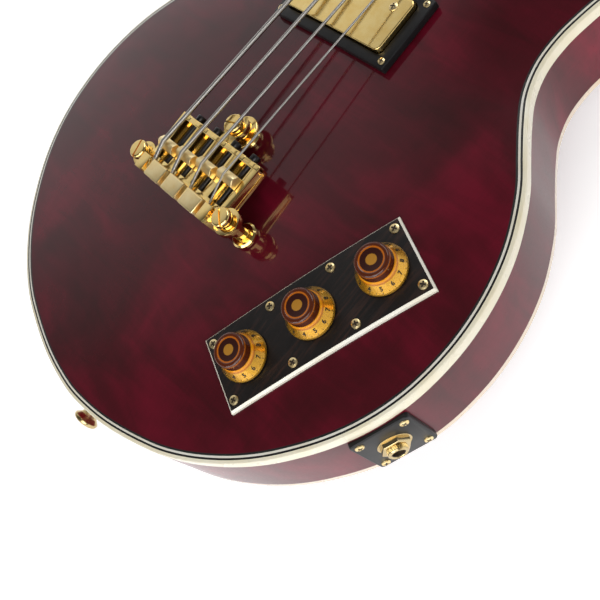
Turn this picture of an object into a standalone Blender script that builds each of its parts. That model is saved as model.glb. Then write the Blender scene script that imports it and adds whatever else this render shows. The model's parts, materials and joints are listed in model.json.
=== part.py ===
"""Four-string electric bass guitar with a carved, bound top, built as an assembly of parts.

World axes: +Y points to the headstock, +X to the treble side, +Z out of the top.
Lengths below run from the body's back plane, its tail end and its centre line. At the
end everything moves so that the origin is on the back, under the arch's crown.
"""
import math

import bmesh
import bpy
from mathutils import Matrix, Vector
from mathutils.bvhtree import BVHTree

MM = 0.001
GAP = 0.3 * MM                      # clearance between pieces that touch

# body
RIM_HEIGHT = 46.8 * MM              # back plane to the top of the binding
ARCH_HEIGHT = 11.8 * MM             # rise of the carved top above the binding
LOWER_CENTRE_Y = 172.8 * MM         # crown of the arch in the lower bout, where the origin ends up
UPPER_CENTRE = (10 * MM, 255 * MM)  # where the arch's ridge ends in the upper bout
ARCH_BLEND_END = 330 * MM
CAP_DEPTH = 5.9 * MM                # thickness of the top at the binding
BINDING_WIDTH = 1.8 * MM
PURFLING_WIDTH = 3.0 * MM
PURFLING_DEPTH = 1.2 * MM
BACK_BINDING_HEIGHT = 4.0 * MM
BACK_THICKNESS = 7.0 * MM
OUTLINE_POINTS = 84
ARCH_RINGS = (1.0, 0.9, 0.77, 0.6, 0.4, 0.18)
BODY_OUTLINE = (                    # millimetres, from the tail round the treble side
    (0, 0), (24, 2.2), (45.5, 6.8), (77, 17.6), (102.5, 32.6), (122, 49), (137, 66.2), (148.5, 83),
    (156.8, 100), (162.2, 117.5), (164.8, 137), (164.6, 155), (161.4, 175), (154, 196.5),
    (141, 219), (124.5, 239), (111.5, 258), (106.5, 278), (109, 300), (114.5, 322),
    (117.5, 342), (116, 360), (108.5, 373), (97, 377.5), (85, 373.5), (73, 364.5), (61, 356),
    (49, 353.5), (39.5, 359), (34, 371), (32, 388), (31.5, 408), (30, 426), (16, 429),
    (0, 429.5), (-16, 429), (-36, 428), (-58, 423), (-80, 412), (-99, 395), (-112, 373),
    (-117.5, 349), (-116.5, 325), (-111, 301), (-106.5, 278), (-111.5, 258), (-124.5, 239),
    (-141, 219), (-154, 196.5), (-161.4, 175), (-164.6, 155), (-164.8, 137), (-162.2, 117.5),
    (-156.8, 100), (-148.5, 83), (-137, 66.2), (-122, 49), (-102.5, 32.6), (-77, 17.6),
    (-45.5, 6.8), (-24, 2.2),
)
BASS_CHAMBER = (
    (-40, 26), (-78, 38), (-112, 62), (-136, 95), (-146, 137), (-142, 170), (-128, 200),
    (-104, 228), (-92, 262), (-92, 300), (-100, 330), (-101, 352), (-92, 378), (-72, 394),
    (-50, 400), (-46, 360), (-46, 60),
)
TREBLE_CHAMBER = (
    (50, 200), (66, 206), (104, 215), (116, 228), (96, 252), (90, 278), (96, 306), (101, 336),
    (92, 352), (76, 344), (54, 332), (48, 300),
)

# strings and scale
STRING_Y = 144.7 * MM
STRING_Z = 81.4 * MM                # string height at STRING_Y
STRING_SLOPE = 0.0631               # fall towards the nut
STRING_GAP = 0.45 * MM              # over a saddle's crest, so that it can slide 5 mm under the falling string
STRING_NAMES = ("e", "a", "d", "g")
STRING_RADIUS = (1.3 * MM, 1.05 * MM, 0.8 * MM, 0.58 * MM)
SADDLE_X = (-24.9 * MM, -8.3 * MM, 8.3 * MM, 24.9 * MM)
SADDLE_Y = (136.0 * MM, 137.4 * MM, 139.4 * MM, 141.8 * MM)
NUT_X = (-15.2 * MM, -5.1 * MM, 5.1 * MM, 15.2 * MM)

# neck
NUT_Y = 918 * MM                    # 30.5 inch scale from the saddles
BOARD_AT_NUT_Z = 31.0 * MM
BOARD_ANGLE = math.radians(3.405)
BOARD_LENGTH = 568 * MM
BOARD_THICKNESS = 6 * MM
NUT_WIDTH = 42 * MM
HEEL_WIDTH = 58 * MM
HEAD_ANGLE = math.radians(11)
HEAD_THICKNESS = 14 * MM
HEAD_OUTLINE = (
    (21, 0), (21.5, 7), (27, 20), (37, 34), (42, 52), (43, 90), (44.5, 130), (46, 160),
    (43, 180), (30, 192), (12, 197), (-12, 197), (-30, 192), (-43, 180), (-46, 160),
    (-44.5, 130), (-43, 90), (-42, 52), (-37, 34), (-27, 20), (-21.5, 7), (-21, 0),
)
TUNER_PLACES = (                    # side, distance from the centre line, distance up the head
    (-1, 23 * MM, 48 * MM), (-1, 24 * MM, 122 * MM), (1, 24 * MM, 122 * MM), (1, 23 * MM, 48 * MM),
)
WORM_OFFSET = 9.4 * MM

# bridge
FRAME_Z = (68.2 * MM, 74.8 * MM)
TAIL_Z = (70.0 * MM, 80.8 * MM)
FRAME_Y = (125.5 * MM, 155.5 * MM)
TAIL_Y = (117.2 * MM, 126.0 * MM)
STUD_X = 39.8 * MM
STUD_Y = 124.8 * MM
FRONT_STUD_Y = 165 * MM
SCREW_Z = 71.2 * MM

# controls
PLATE_CENTRE = (100.9 * MM, 116.6 * MM)
PLATE_ANGLE = math.radians(-23.3)
PLATE_HALF = (20.6 * MM, 56.0 * MM)
PLATE_THICKNESS = 2.6 * MM
KNOB_OFFSETS = (-38.5 * MM, 0.0, 38.5 * MM)
JACK_CENTRE = (155.9 * MM, 95.9 * MM, 21.0 * MM)
JACK_ANGLE = math.radians(-23.3)
JACK_PLATE = (31 * MM, 35.5 * MM, 2.6 * MM)
JACK_BORE = 3.25 * MM

PARTS = None
CUTTERS = None


def clear_scene():
    for obj in list(bpy.data.objects):
        bpy.data.objects.remove(obj, do_unlink=True)


def new_collection(name):
    collection = bpy.data.collections.new(name)
    bpy.context.scene.collection.children.link(collection)
    return collection


def material(name, colour, roughness, metallic=0.0):
    mat = bpy.data.materials.new(name)
    mat.use_nodes = True
    shader = mat.node_tree.nodes["Principled BSDF"]
    shader.inputs["Base Color"].default_value = (*colour, 1.0)
    shader.inputs["Roughness"].default_value = roughness
    shader.inputs["Metallic"].default_value = metallic
    mat.diffuse_color = (*colour, 1.0)
    return mat


def place(obj, parent, location, rotation):
    obj.parent = parent
    obj.location = location
    obj.rotation_euler = rotation


def add_object(name, mesh, mat, parent=None, location=(0, 0, 0), rotation=(0, 0, 0)):
    obj = bpy.data.objects.new(name, mesh)
    PARTS.objects.link(obj)
    mesh.materials.append(mat)
    place(obj, parent, location, rotation)
    return obj


def add_cutter(name, mesh, parent=None, location=(0, 0, 0), rotation=(0, 0, 0)):
    obj = bpy.data.objects.new(name, mesh)
    CUTTERS.objects.link(obj)
    obj.hide_render = True
    obj.display_type = 'WIRE'
    place(obj, parent, location, rotation)
    return obj


def boolean(target, tool, operation='DIFFERENCE'):
    modifier = target.modifiers.new("Boolean " + tool.name, 'BOOLEAN')
    modifier.solver = 'EXACT'
    modifier.operation = operation
    modifier.object = tool


def bevel(obj, width, segments=2):
    modifier = obj.modifiers.new("Bevel", 'BEVEL')
    modifier.width = width
    modifier.segments = segments
    modifier.limit_method = 'ANGLE'


def box_mesh(name, low, high):
    """Box between two corners, in the object's own axes."""
    mesh = bpy.data.meshes.new(name)
    bm = bmesh.new()
    size = [b - a for a, b in zip(low, high)]
    middle = [(a + b) / 2 for a, b in zip(low, high)]
    bmesh.ops.create_cube(bm, size=1.0, matrix=Matrix.Translation(middle) @ Matrix.Diagonal((*size, 1.0)))
    bm.to_mesh(mesh)
    bm.free()
    return mesh


def cylinder_mesh(name, radius, low, high, segments=32):
    """Cylinder along the object's own Z axis."""
    mesh = bpy.data.meshes.new(name)
    bm = bmesh.new()
    bmesh.ops.create_cone(
        bm, cap_ends=True, segments=segments, radius1=radius, radius2=radius,
        depth=high - low, matrix=Matrix.Translation((0, 0, (low + high) / 2)),
    )
    bm.to_mesh(mesh)
    bm.free()
    return mesh


def curve_to_mesh(name, curve):
    """Turn a curve into a welded mesh, so that it can take Booleans."""
    temp = bpy.data.objects.new(name + "_curve", curve)
    bpy.context.scene.collection.objects.link(temp)
    bpy.context.view_layer.update()
    graph = bpy.context.evaluated_depsgraph_get()
    mesh = bpy.data.meshes.new_from_object(temp.evaluated_get(graph))
    bpy.data.objects.remove(temp, do_unlink=True)
    bpy.data.curves.remove(curve)
    mesh.name = name
    bm = bmesh.new()
    bm.from_mesh(mesh)
    bmesh.ops.remove_doubles(bm, verts=bm.verts, dist=1e-6)
    bmesh.ops.recalc_face_normals(bm, faces=bm.faces)
    bm.to_mesh(mesh)
    bm.free()
    return mesh


def slab_mesh(name, loops, low, high):
    """Flat plate with the outline loops[0] and the holes loops[1:], from z = low to z = high."""
    curve = bpy.data.curves.new(name, 'CURVE')
    curve.dimensions = '2D'
    curve.fill_mode = 'BOTH'
    curve.extrude = (high - low) / 2
    for loop in loops:
        spline = curve.splines.new('POLY')
        spline.points.add(len(loop) - 1)
        for point, (x, y) in zip(spline.points, loop):
            point.co = (x, y, 0.0, 1.0)
        spline.use_cyclic_u = True
    mesh = curve_to_mesh(name, curve)
    mesh.transform(Matrix.Translation((0, 0, (low + high) / 2)))
    return mesh


def tube_mesh(name, points, radius, resolution=2):
    """Round wire along a polyline, with filled ends."""
    curve = bpy.data.curves.new(name, 'CURVE')
    curve.dimensions = '3D'
    curve.bevel_depth = radius
    curve.bevel_resolution = resolution
    curve.use_fill_caps = True
    spline = curve.splines.new('POLY')
    spline.points.add(len(points) - 1)
    for point, co in zip(spline.points, points):
        point.co = (*co, 1.0)
    return curve_to_mesh(name, curve)


def turned_object(name, profile, mat, steps=40, parent=None, location=(0, 0, 0), rotation=(0, 0, 0)):
    """Turned piece: profile of (radius, height) from its top down its outer side.

    A profile off the axis is closed into a ring.
    """
    mesh = bpy.data.meshes.new(name)
    vertices = [(radius, 0.0, height) for radius, height in profile]
    edges = [(i, i + 1) for i in range(len(profile) - 1)]
    if profile[0][0] > 0:
        edges.append((len(profile) - 1, 0))
    mesh.from_pydata(vertices, edges, [])
    obj = add_object(name, mesh, mat, parent, location, rotation)
    screw = obj.modifiers.new("Screw", 'SCREW')
    screw.axis = 'Z'
    screw.steps = steps
    screw.render_steps = steps
    screw.use_merge_vertices = True
    screw.merge_threshold = 0.00001
    return obj


def smooth_loop(control, count):
    """Closed smooth curve through the control points, resampled at even arc length."""
    total = len(control)
    dense = []
    for i in range(total):
        p0, p1, p2, p3 = (Vector(control[(i + k - 1) % total]) for k in range(4))
        for step in range(16):
            t = step / 16
            dense.append(0.5 * (2 * p1 + (p2 - p0) * t + (2 * p0 - 5 * p1 + 4 * p2 - p3) * t * t
                                + (3 * p1 - p0 - 3 * p2 + p3) * t ** 3))
    lengths = [0.0]
    for i in range(len(dense)):
        lengths.append(lengths[-1] + (dense[(i + 1) % len(dense)] - dense[i]).length)
    points = []
    index = 0
    for k in range(count):
        target = lengths[-1] * k / count
        while lengths[index + 1] < target:
            index += 1
        share = (target - lengths[index]) / (lengths[index + 1] - lengths[index])
        point = dense[index].lerp(dense[(index + 1) % len(dense)], share)
        points.append((point.x * MM, point.y * MM))
    return points


def inset_loop(loop, distance):
    """Loop moved inwards by a distance; the loop runs anticlockwise."""
    count = len(loop)
    result = []
    for i in range(count):
        before = Vector(loop[i - 1])
        after = Vector(loop[(i + 1) % count])
        tangent = (after - before).normalized()
        result.append((loop[i][0] - tangent.y * distance, loop[i][1] + tangent.x * distance))
    return result


def rounded_rectangle(half_x, half_y, radius, steps=5):
    points = []
    for corner in range(4):
        centre_x = (half_x - radius) * (1 if corner in (0, 3) else -1)
        centre_y = (half_y - radius) * (1 if corner in (0, 1) else -1)
        for step in range(steps + 1):
            angle = math.radians(90 * corner + 90 * step / steps)
            points.append((centre_x + radius * math.cos(angle), centre_y + radius * math.sin(angle)))
    return points


def circle(radius, segments=32):
    return [(radius * math.cos(2 * math.pi * i / segments), radius * math.sin(2 * math.pi * i / segments))
            for i in range(segments)]


def arch_centre(y):
    """Centre that the arch's rings shrink towards, for an outline point at this y."""
    share = min(max((y - LOWER_CENTRE_Y) / (ARCH_BLEND_END - LOWER_CENTRE_Y), 0.0), 1.0)
    share = share * share * (3 - 2 * share)
    return Vector((
        UPPER_CENTRE[0] * share,
        LOWER_CENTRE_Y + (UPPER_CENTRE[1] - LOWER_CENTRE_Y) * share,
    ))


def arch_tree(outline):
    """Surface of the carved top, as a tree that rays can be cast on."""
    rings = [k / 16 for k in range(17)]
    vertices = []
    for x, y in outline:
        centre = arch_centre(y)
        edge = Vector((x, y))
        for ring in rings:
            point = centre + (edge - centre) * ring
            vertices.append((point.x, point.y, RIM_HEIGHT + ARCH_HEIGHT * (1 - ring * ring)))
    faces = []
    count = len(outline)
    width = len(rings)
    for i in range(count):
        j = (i + 1) % count
        for k in range(width - 1):
            faces.append((i * width + k, i * width + k + 1, j * width + k + 1, j * width + k))
    return BVHTree.FromPolygons(vertices, faces)


class TopSurface:
    """Height and normal of the carved top at a place."""

    def __init__(self, outline):
        self.tree = arch_tree(outline)

    def height(self, x, y):
        hit = self.tree.ray_cast(Vector((x, y, 1.0)), Vector((0, 0, -1)))[0]
        return hit.z if hit else RIM_HEIGHT

    def normal(self, x, y):
        step = 6 * MM
        slope_x = (self.height(x + step, y) - self.height(x - step, y)) / (2 * step)
        slope_y = (self.height(x, y + step) - self.height(x, y - step)) / (2 * step)
        return Vector((-slope_x, -slope_y, 1.0)).normalized()

    def rotation(self, x, y, turn=0.0):
        """Euler angles that stand a piece's Z on the surface."""
        normal = self.normal(x, y)
        across = Vector((math.cos(turn), math.sin(turn), 0.0))
        across = (across - normal * across.dot(normal)).normalized()
        along = normal.cross(across)
        return Matrix((across, along, normal)).transposed().to_euler()


def arched_slab_mesh(name, top, centre, turn, half, low, high, cells):
    """Sheet that follows the carved top, between two lifts above it."""
    bm = bmesh.new()
    cos_turn = math.cos(turn)
    sin_turn = math.sin(turn)
    sheets = []
    for lift in (low, high):
        sheet = []
        for j in range(cells[1] + 1):
            row = []
            for i in range(cells[0] + 1):
                u = half[0] * (2 * i / cells[0] - 1)
                v = half[1] * (2 * j / cells[1] - 1)
                x = centre[0] + u * cos_turn - v * sin_turn
                y = centre[1] + u * sin_turn + v * cos_turn
                row.append(bm.verts.new((x, y, top.height(x, y) + lift)))
            sheet.append(row)
        sheets.append(sheet)
    lower, upper = sheets
    for j in range(cells[1]):
        for i in range(cells[0]):
            bm.faces.new((upper[j][i], upper[j][i + 1], upper[j + 1][i + 1], upper[j + 1][i]))
            bm.faces.new((lower[j][i], lower[j + 1][i], lower[j + 1][i + 1], lower[j][i + 1]))
    rims = (
        ([row[0] for row in lower], [row[0] for row in upper]),
        ([row[-1] for row in lower], [row[-1] for row in upper]),
        (lower[0], upper[0]),
        (lower[-1], upper[-1]),
    )
    for below, above in rims:
        for i in range(len(below) - 1):
            bm.faces.new((below[i], below[i + 1], above[i + 1], above[i]))
    bmesh.ops.recalc_face_normals(bm, faces=bm.faces)
    mesh = bpy.data.meshes.new(name)
    bm.to_mesh(mesh)
    bm.free()
    return mesh


def loft_mesh(name, sections):
    """Closed skin through equal-length sections of 3-D points."""
    bm = bmesh.new()
    rows = [[bm.verts.new(point) for point in section] for section in sections]
    count = len(rows[0])
    for row, following in zip(rows, rows[1:]):
        for i in range(count):
            j = (i + 1) % count
            bm.faces.new((row[i], row[j], following[j], following[i]))
    bm.faces.new(rows[0])
    bm.faces.new(rows[-1])
    bmesh.ops.recalc_face_normals(bm, faces=bm.faces)
    mesh = bpy.data.meshes.new(name)
    bm.to_mesh(mesh)
    bm.free()
    return mesh


# ---------------------------------------------------------------- body

def make_body_core(outline, mat):
    """Chambered back and sides, with a step round the back edge for the binding."""
    top_z = RIM_HEIGHT - CAP_DEPTH - GAP
    step_z = BACK_BINDING_HEIGHT + GAP
    inside = inset_loop(outline, BINDING_WIDTH + GAP)
    levels = ((inside, 0.0), (inside, step_z), (outline, step_z), (outline, top_z))
    sections = [[(x, y, z) for x, y in loop] for loop, z in levels]
    core = add_object("body_core", loft_mesh("body_core", sections), mat)
    bass = smooth_loop(BASS_CHAMBER, 36)
    treble = smooth_loop(TREBLE_CHAMBER, 28)
    boolean(core, add_cutter("cut_bass", slab_mesh("bass", [bass], BACK_THICKNESS, RIM_HEIGHT)))
    boolean(core, add_cutter("cut_treble", slab_mesh("treble", [treble], BACK_THICKNESS, RIM_HEIGHT)))
    return core


def make_top_board(outline, top, mat):
    """Carved cap: flat underneath, arched above, with a groove round it for the purfling."""
    edge = inset_loop(outline, BINDING_WIDTH + GAP)
    shoulder = inset_loop(outline, BINDING_WIDTH + 2 * GAP + PURFLING_WIDTH)
    groove_z = RIM_HEIGHT - PURFLING_DEPTH - GAP
    sections = [
        [(x, y, RIM_HEIGHT - CAP_DEPTH) for x, y in edge],
        [(x, y, groove_z) for x, y in edge],
        [(x, y, groove_z) for x, y in shoulder],
    ]
    for share in ARCH_RINGS:
        section = []
        for (x, y), (_, outline_y) in zip(shoulder, outline):
            centre = arch_centre(outline_y)
            point = centre + (Vector((x, y)) - centre) * share
            section.append((point.x, point.y, top.height(point.x, point.y)))
        sections.append(section)
    flat = RIM_HEIGHT + ARCH_HEIGHT * (1 - ARCH_RINGS[-1] ** 2)
    sections[-1] = [(x, y, flat) for x, y, _ in sections[-1]]
    return add_object("top_board", loft_mesh("top_board", sections), mat)


def make_bindings(outline, cream, black):
    inner = inset_loop(outline, BINDING_WIDTH)
    low = RIM_HEIGHT - CAP_DEPTH
    binding = add_object("top_binding", slab_mesh("top_binding", [outline, inner], low, RIM_HEIGHT), cream)
    add_object("back_binding", slab_mesh("back_binding", [outline, inner], 0.0, BACK_BINDING_HEIGHT), cream)
    outer = inset_loop(outline, BINDING_WIDTH + GAP)
    inner = inset_loop(outline, BINDING_WIDTH + GAP + PURFLING_WIDTH)
    lines = slab_mesh("purfling", [outer, inner], RIM_HEIGHT - PURFLING_DEPTH, RIM_HEIGHT + 0.2 * MM)
    return binding, add_object("top_purfling", lines, black)


def make_strap_button(name, location, direction, mat):
    profile = [
        (0, 13.0), (5.2, 13.0), (7.2, 11.6), (7.4, 10.4), (4.2, 8.2), (3.6, 5.0), (4.6, 2.0),
        (7.0, 0.9), (7.0, 0.3), (0, 0.3),
    ]
    rotation = Vector(direction).to_track_quat('Z', 'Y').to_euler()
    turned_object(name, [(r * MM, z * MM) for r, z in profile], mat, 20, None, location, rotation)


# ---------------------------------------------------------------- neck

def neck_width(y):
    """Width of the neck at a distance y from the nut, negative towards the body."""
    return NUT_WIDTH + (HEEL_WIDTH - NUT_WIDTH) * min(max(-y / BOARD_LENGTH, 0.0), 1.0)


def neck_section(y, depth, squareness):
    """Rounded back under a flat top; a small squareness makes a boxy heel."""
    half = neck_width(y) / 2
    top = -BOARD_THICKNESS - GAP
    points = [(-half, y, top), (half, y, top), (half, y, top - 2.0 * MM)]
    for step in range(1, 10):
        angle = math.pi * step / 10
        across = math.copysign(abs(math.cos(angle)) ** squareness, math.cos(angle))
        down = math.sin(angle) ** squareness
        points.append((half * across, y, top - 2.0 * MM - (depth - 2.0 * MM) * down))
    points.append((-half, y, top - 2.0 * MM))
    return points


def make_neck(neck_frame, head_frame, mat):
    stations = (
        (15, 11, 0.9), (0, 13.5, 0.9), (-30, 14.2, 0.9), (-150, 14.8, 0.9), (-300, 15.6, 0.9),
        (-420, 17.5, 0.9), (-450, 20, 0.8), (-467, 28, 0.6), (-479, 42, 0.5), (-486, 49, 0.45),
    )
    sections = [neck_section(y * MM, depth * MM, squareness) for y, depth, squareness in stations]
    neck = add_object("neck", loft_mesh("neck", sections), mat, neck_frame)
    tenon_high = (22 * MM, -482 * MM, -BOARD_THICKNESS - 1 * MM)
    tenon = box_mesh("tenon", (-22 * MM, -560 * MM, -40 * MM), tenon_high)
    boolean(neck, add_cutter("join_tenon", tenon, neck_frame), 'UNION')
    sections = []
    half = 27.5 * MM
    high = -BOARD_THICKNESS - GAP
    for y, low in ((-484 * MM, -12.6 * MM), (-560 * MM, -8.8 * MM)):
        sections.append([(-half, y, low), (half, y, low), (half, y, high), (-half, y, high)])
    boolean(neck, add_cutter("join_ledge", loft_mesh("ledge", sections), neck_frame), 'UNION')
    head = slab_mesh("head", [[(x * MM, y * MM) for x, y in HEAD_OUTLINE]], -HEAD_THICKNESS, 0.0)
    boolean(neck, add_cutter("join_head", head, head_frame), 'UNION')
    rod = box_mesh("rod_slot", (-3.3 * MM, -480 * MM, -15 * MM), (3.3 * MM, 2 * MM, 0.0))
    boolean(neck, add_cutter("cut_rod", rod, neck_frame))
    mouth = box_mesh("rod_mouth", (-6 * MM, -2 * MM, -9 * MM), (6 * MM, 26 * MM, 6 * MM))
    boolean(neck, add_cutter("cut_mouth", mouth, head_frame))
    for index, (side, x, y) in enumerate(TUNER_PLACES):
        hole = cylinder_mesh("post_hole", 5.2 * MM, -20 * MM, 8 * MM, 20)
        boolean(neck, add_cutter("cut_post_%d" % index, hole, head_frame, (side * x, y, 0)))
    return neck


def make_fingerboard(neck_frame, mat):
    sections = []
    for y in (-BOARD_LENGTH, -GAP):
        half = neck_width(y) / 2
        section = [(-half, y, -BOARD_THICKNESS), (half, y, -BOARD_THICKNESS)]
        for share in (1.0, 0.6, 0.2, -0.2, -0.6, -1.0):
            section.append((half * share, y, -1.0 * MM * share * share))
        sections.append(section)
    add_object("fingerboard", loft_mesh("fingerboard", sections), mat, neck_frame)


def make_nut(neck_frame, mat):
    half = NUT_WIDTH / 2 - 0.2 * MM
    mesh = box_mesh("nut", (-half, 0.1 * MM, -5.8 * MM), (half, 5.1 * MM, 2.4 * MM))
    nut = add_object("nut", mesh, mat, neck_frame)
    for name, x, radius in zip(STRING_NAMES, NUT_X, STRING_RADIUS):
        low = 1.6 * MM - radius - 0.25 * MM
        slot = box_mesh("slot", (-radius - 0.15 * MM, -2 * MM, low), (radius + 0.15 * MM, 8 * MM, 6 * MM))
        boolean(nut, add_cutter("cut_nut_" + name, slot, neck_frame, (x, 0, 0)))


def make_truss_rod(neck_frame, head_frame, steel, cover_mat):
    rod = box_mesh("truss_rod", (-3 * MM, -478 * MM, -14.6 * MM), (3 * MM, -0.5 * MM, -6.6 * MM))
    add_object("truss_rod", rod, steel, neck_frame)
    loop = [(-7, 1), (7, 1), (9, 12), (10, 24), (7, 31), (0, 34), (-7, 31), (-10, 24), (-9, 12)]
    cover = slab_mesh("truss_cover", [[(x * MM, y * MM) for x, y in loop]], GAP, 2.1 * MM)
    add_object("truss_cover", cover, cover_mat, head_frame, (0, 2 * MM, 0))


def make_tuner(name, side, x, y, head_frame, gold):
    """Enclosed machine: housing on the back, worm key at the side, string post through the head."""
    centre = (side * x, y, 0.0)
    back = -HEAD_THICKNESS
    low = (-12 * MM, -15 * MM, back - 10.3 * MM)
    housing = add_object("tuner_housing_" + name, box_mesh("housing", low, (12 * MM, 10 * MM, back - GAP)),
                         gold, head_frame, centre)
    pocket = box_mesh("pocket", (-9.6 * MM, -13.2 * MM, back - 9.0 * MM), (9.6 * MM, 8.2 * MM, back - 1.8 * MM))
    boolean(housing, add_cutter("cut_pocket_" + name, pocket, head_frame, centre))
    bore = cylinder_mesh("bore", 5.1 * MM, back - 4 * MM, back + 4 * MM, 20)
    boolean(housing, add_cutter("cut_bore_" + name, bore, head_frame, centre))
    worm_z = back - 5.4 * MM
    worm_place = (side * x, y - WORM_OFFSET, worm_z)
    facing = (0, math.radians(90) * side, 0)
    way = cylinder_mesh("key_way", 1.85 * MM, 4 * MM, 20 * MM, 14)
    boolean(housing, add_cutter("cut_key_" + name, way, head_frame, worm_place, facing))
    profile = [
        (0, 17.5), (5.2, 17.5), (5.8, 15.5), (4.4, 12.5), (4.4, 5.0), (6.0, 2.6), (6.0, 1.2),
        (4.8, 0.9), (4.8, -16.6), (6.5, -16.9), (6.5, -21.0), (2.4, -21.4), (2.4, -22.7), (0, -22.7),
    ]
    turned_object("tuner_post_" + name, [(r * MM, z * MM) for r, z in profile], gold, 14, head_frame, centre)
    reach = 25.0
    key_profile = [
        (0, reach), (2.4, reach), (2.6, reach - 3.0), (1.6, reach - 4.0), (1.6, 5.4), (2.6, 4.8),
        (2.6, -4.8), (0, -4.8),
    ]
    key = turned_object("tuner_key_" + name, [(r * MM, z * MM) for r, z in key_profile], gold, 14,
                        head_frame, worm_place, facing)
    paddle = slab_mesh("paddle", [rounded_rectangle(10.5 * MM, 9.5 * MM, 6.5 * MM, 3)], -2.6 * MM, 2.6 * MM)
    paddle.transform(Matrix.Translation((0, 0, 32.5 * MM)) @ Matrix.Rotation(math.radians(90), 4, 'X'))
    boolean(key, add_cutter("join_paddle_" + name, paddle, head_frame, worm_place, facing), 'UNION')


def make_string(index, neck_frame, head_frame, mat):
    """Taut string: tail bar, saddle, nut slot and the side of its post."""
    name = STRING_NAMES[index]
    radius = STRING_RADIUS[index]
    x = SADDLE_X[index]
    crown_y = SADDLE_Y[index]
    crown_z = STRING_Z - STRING_SLOPE * (crown_y - STRING_Y)
    drop = math.tan(math.radians(18))
    anchor_y = TAIL_Y[0] + 3.0 * MM
    nut = neck_frame.matrix_world @ Vector((NUT_X[index], 5.0 * MM, 1.6 * MM))
    side, post_x, post_y = TUNER_PLACES[index]
    post = head_frame.matrix_world @ Vector((side * (post_x - 4.4 * MM - radius - GAP), post_y, 8 * MM))
    points = [
        (x, anchor_y, crown_z - (crown_y - anchor_y) * drop),
        (x, crown_y, crown_z),
        tuple(nut),
        tuple(post),
    ]
    mesh = tube_mesh("string_" + name, points, radius)
    add_object("string_" + name, mesh, mat)


# ---------------------------------------------------------------- bridge

def make_bridge_frame(mat):
    frame = add_object("bridge_frame", box_mesh(
        "bridge_frame", (-35.2 * MM, FRAME_Y[0], FRAME_Z[0]), (35.2 * MM, FRAME_Y[1], FRAME_Z[1])), mat)
    tail = box_mesh("tail", (-32.8 * MM, TAIL_Y[0], TAIL_Z[0]), (32.8 * MM, TAIL_Y[1], TAIL_Z[1]))
    boolean(frame, add_cutter("join_tail", tail), 'UNION')
    ears = box_mesh("ears", (-STUD_X, 120.3 * MM, 71.4 * MM), (STUD_X, 129.3 * MM, 74.6 * MM))
    boolean(frame, add_cutter("join_ears", ears), 'UNION')
    tongue = box_mesh("tongue", (-5.2 * MM, 153 * MM, 68.6 * MM), (5.2 * MM, FRONT_STUD_Y, 71.6 * MM))
    boolean(frame, add_cutter("join_tongue", tongue), 'UNION')
    nose = cylinder_mesh("nose", 7.3 * MM, 68.5 * MM, 71.7 * MM, 24)
    boolean(frame, add_cutter("join_nose", nose, None, (0, FRONT_STUD_Y, 0)), 'UNION')
    for side in (-1, 1):
        ear = cylinder_mesh("ear", 7.3 * MM, 71.3 * MM, 74.7 * MM, 24)
        boolean(frame, add_cutter("join_ear_%d" % side, ear, None, (side * STUD_X, STUD_Y, 0)), 'UNION')
        slot = cylinder_mesh("ear_slot", 3.9 * MM, 60 * MM, 90 * MM, 20)
        boolean(frame, add_cutter("cut_ear_%d" % side, slot, None, (side * STUD_X, STUD_Y, 0)))
    fork = box_mesh("fork", (-3.9 * MM, FRONT_STUD_Y - 3.9 * MM, 60 * MM), (3.9 * MM, 180 * MM, 90 * MM))
    boolean(frame, add_cutter("cut_fork", fork))
    for name, x in zip(STRING_NAMES, SADDLE_X):
        channel = box_mesh("channel", (-5.7 * MM, 128.3 * MM, 60 * MM), (5.7 * MM, 152.5 * MM, 90 * MM))
        boolean(frame, add_cutter("cut_channel_" + name, channel, None, (x, 0, 0)))
        slot = box_mesh("string_slot", (-1.7 * MM, 110 * MM, 73.2 * MM), (1.7 * MM, 140 * MM, 90 * MM))
        boolean(frame, add_cutter("cut_slot_" + name, slot, None, (x, 0, 0)))
        bore = cylinder_mesh("screw_bore", 1.75 * MM, -160 * MM, -126.5 * MM, 14)
        rotation = (math.radians(90), 0, 0)
        boolean(frame, add_cutter("cut_screw_" + name, bore, None, (x, 0, SCREW_Z), rotation))
    return frame


def make_saddle(index, mat):
    name = STRING_NAMES[index]
    radius = STRING_RADIUS[index]
    y = SADDLE_Y[index]
    crest = STRING_Z - STRING_SLOPE * (y - STRING_Y) - radius - STRING_GAP
    bottom = FRAME_Z[1] + GAP
    profile = [
        (-3.0, bottom), (3.2, bottom), (3.2, crest - 1.6 * MM), (0.9, crest), (-0.5, crest),
        (-3.0, crest - 2.2 * MM),
    ]
    sections = []
    for x in (-7.6 * MM, 7.6 * MM):
        sections.append([(x, depth * MM, z) for depth, z in profile])
    saddle = add_object("saddle_" + name, loft_mesh("saddle", sections), mat, None, (SADDLE_X[index], y, 0))
    tongue = box_mesh("tongue", (-5.2 * MM, -2.6 * MM, 68.9 * MM), (5.2 * MM, 2.6 * MM, bottom + 1 * MM))
    boolean(saddle, add_cutter("join_saddle_" + name, tongue, None, (SADDLE_X[index], y, 0)), 'UNION')
    bore = cylinder_mesh("saddle_bore", 1.75 * MM, -6 * MM, 6 * MM, 14)
    place_at = (SADDLE_X[index], y, SCREW_Z)
    boolean(saddle, add_cutter("cut_saddle_" + name, bore, None, place_at, (math.radians(90), 0, 0)))


def make_intonation_screw(index, mat):
    profile = [
        (0, 3.6), (2.2, 3.6), (2.6, 3.2), (2.6, 0.3), (1.6, 0.3), (1.6, -28.6), (0, -28.6),
    ]
    location = (SADDLE_X[index], FRAME_Y[1], SCREW_Z)
    points = [(r * MM, z * MM) for r, z in profile]
    rotation = (math.radians(-90), 0, 0)
    turned_object("intonation_screw_" + STRING_NAMES[index], points, mat, 14, None, location, rotation)


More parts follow.
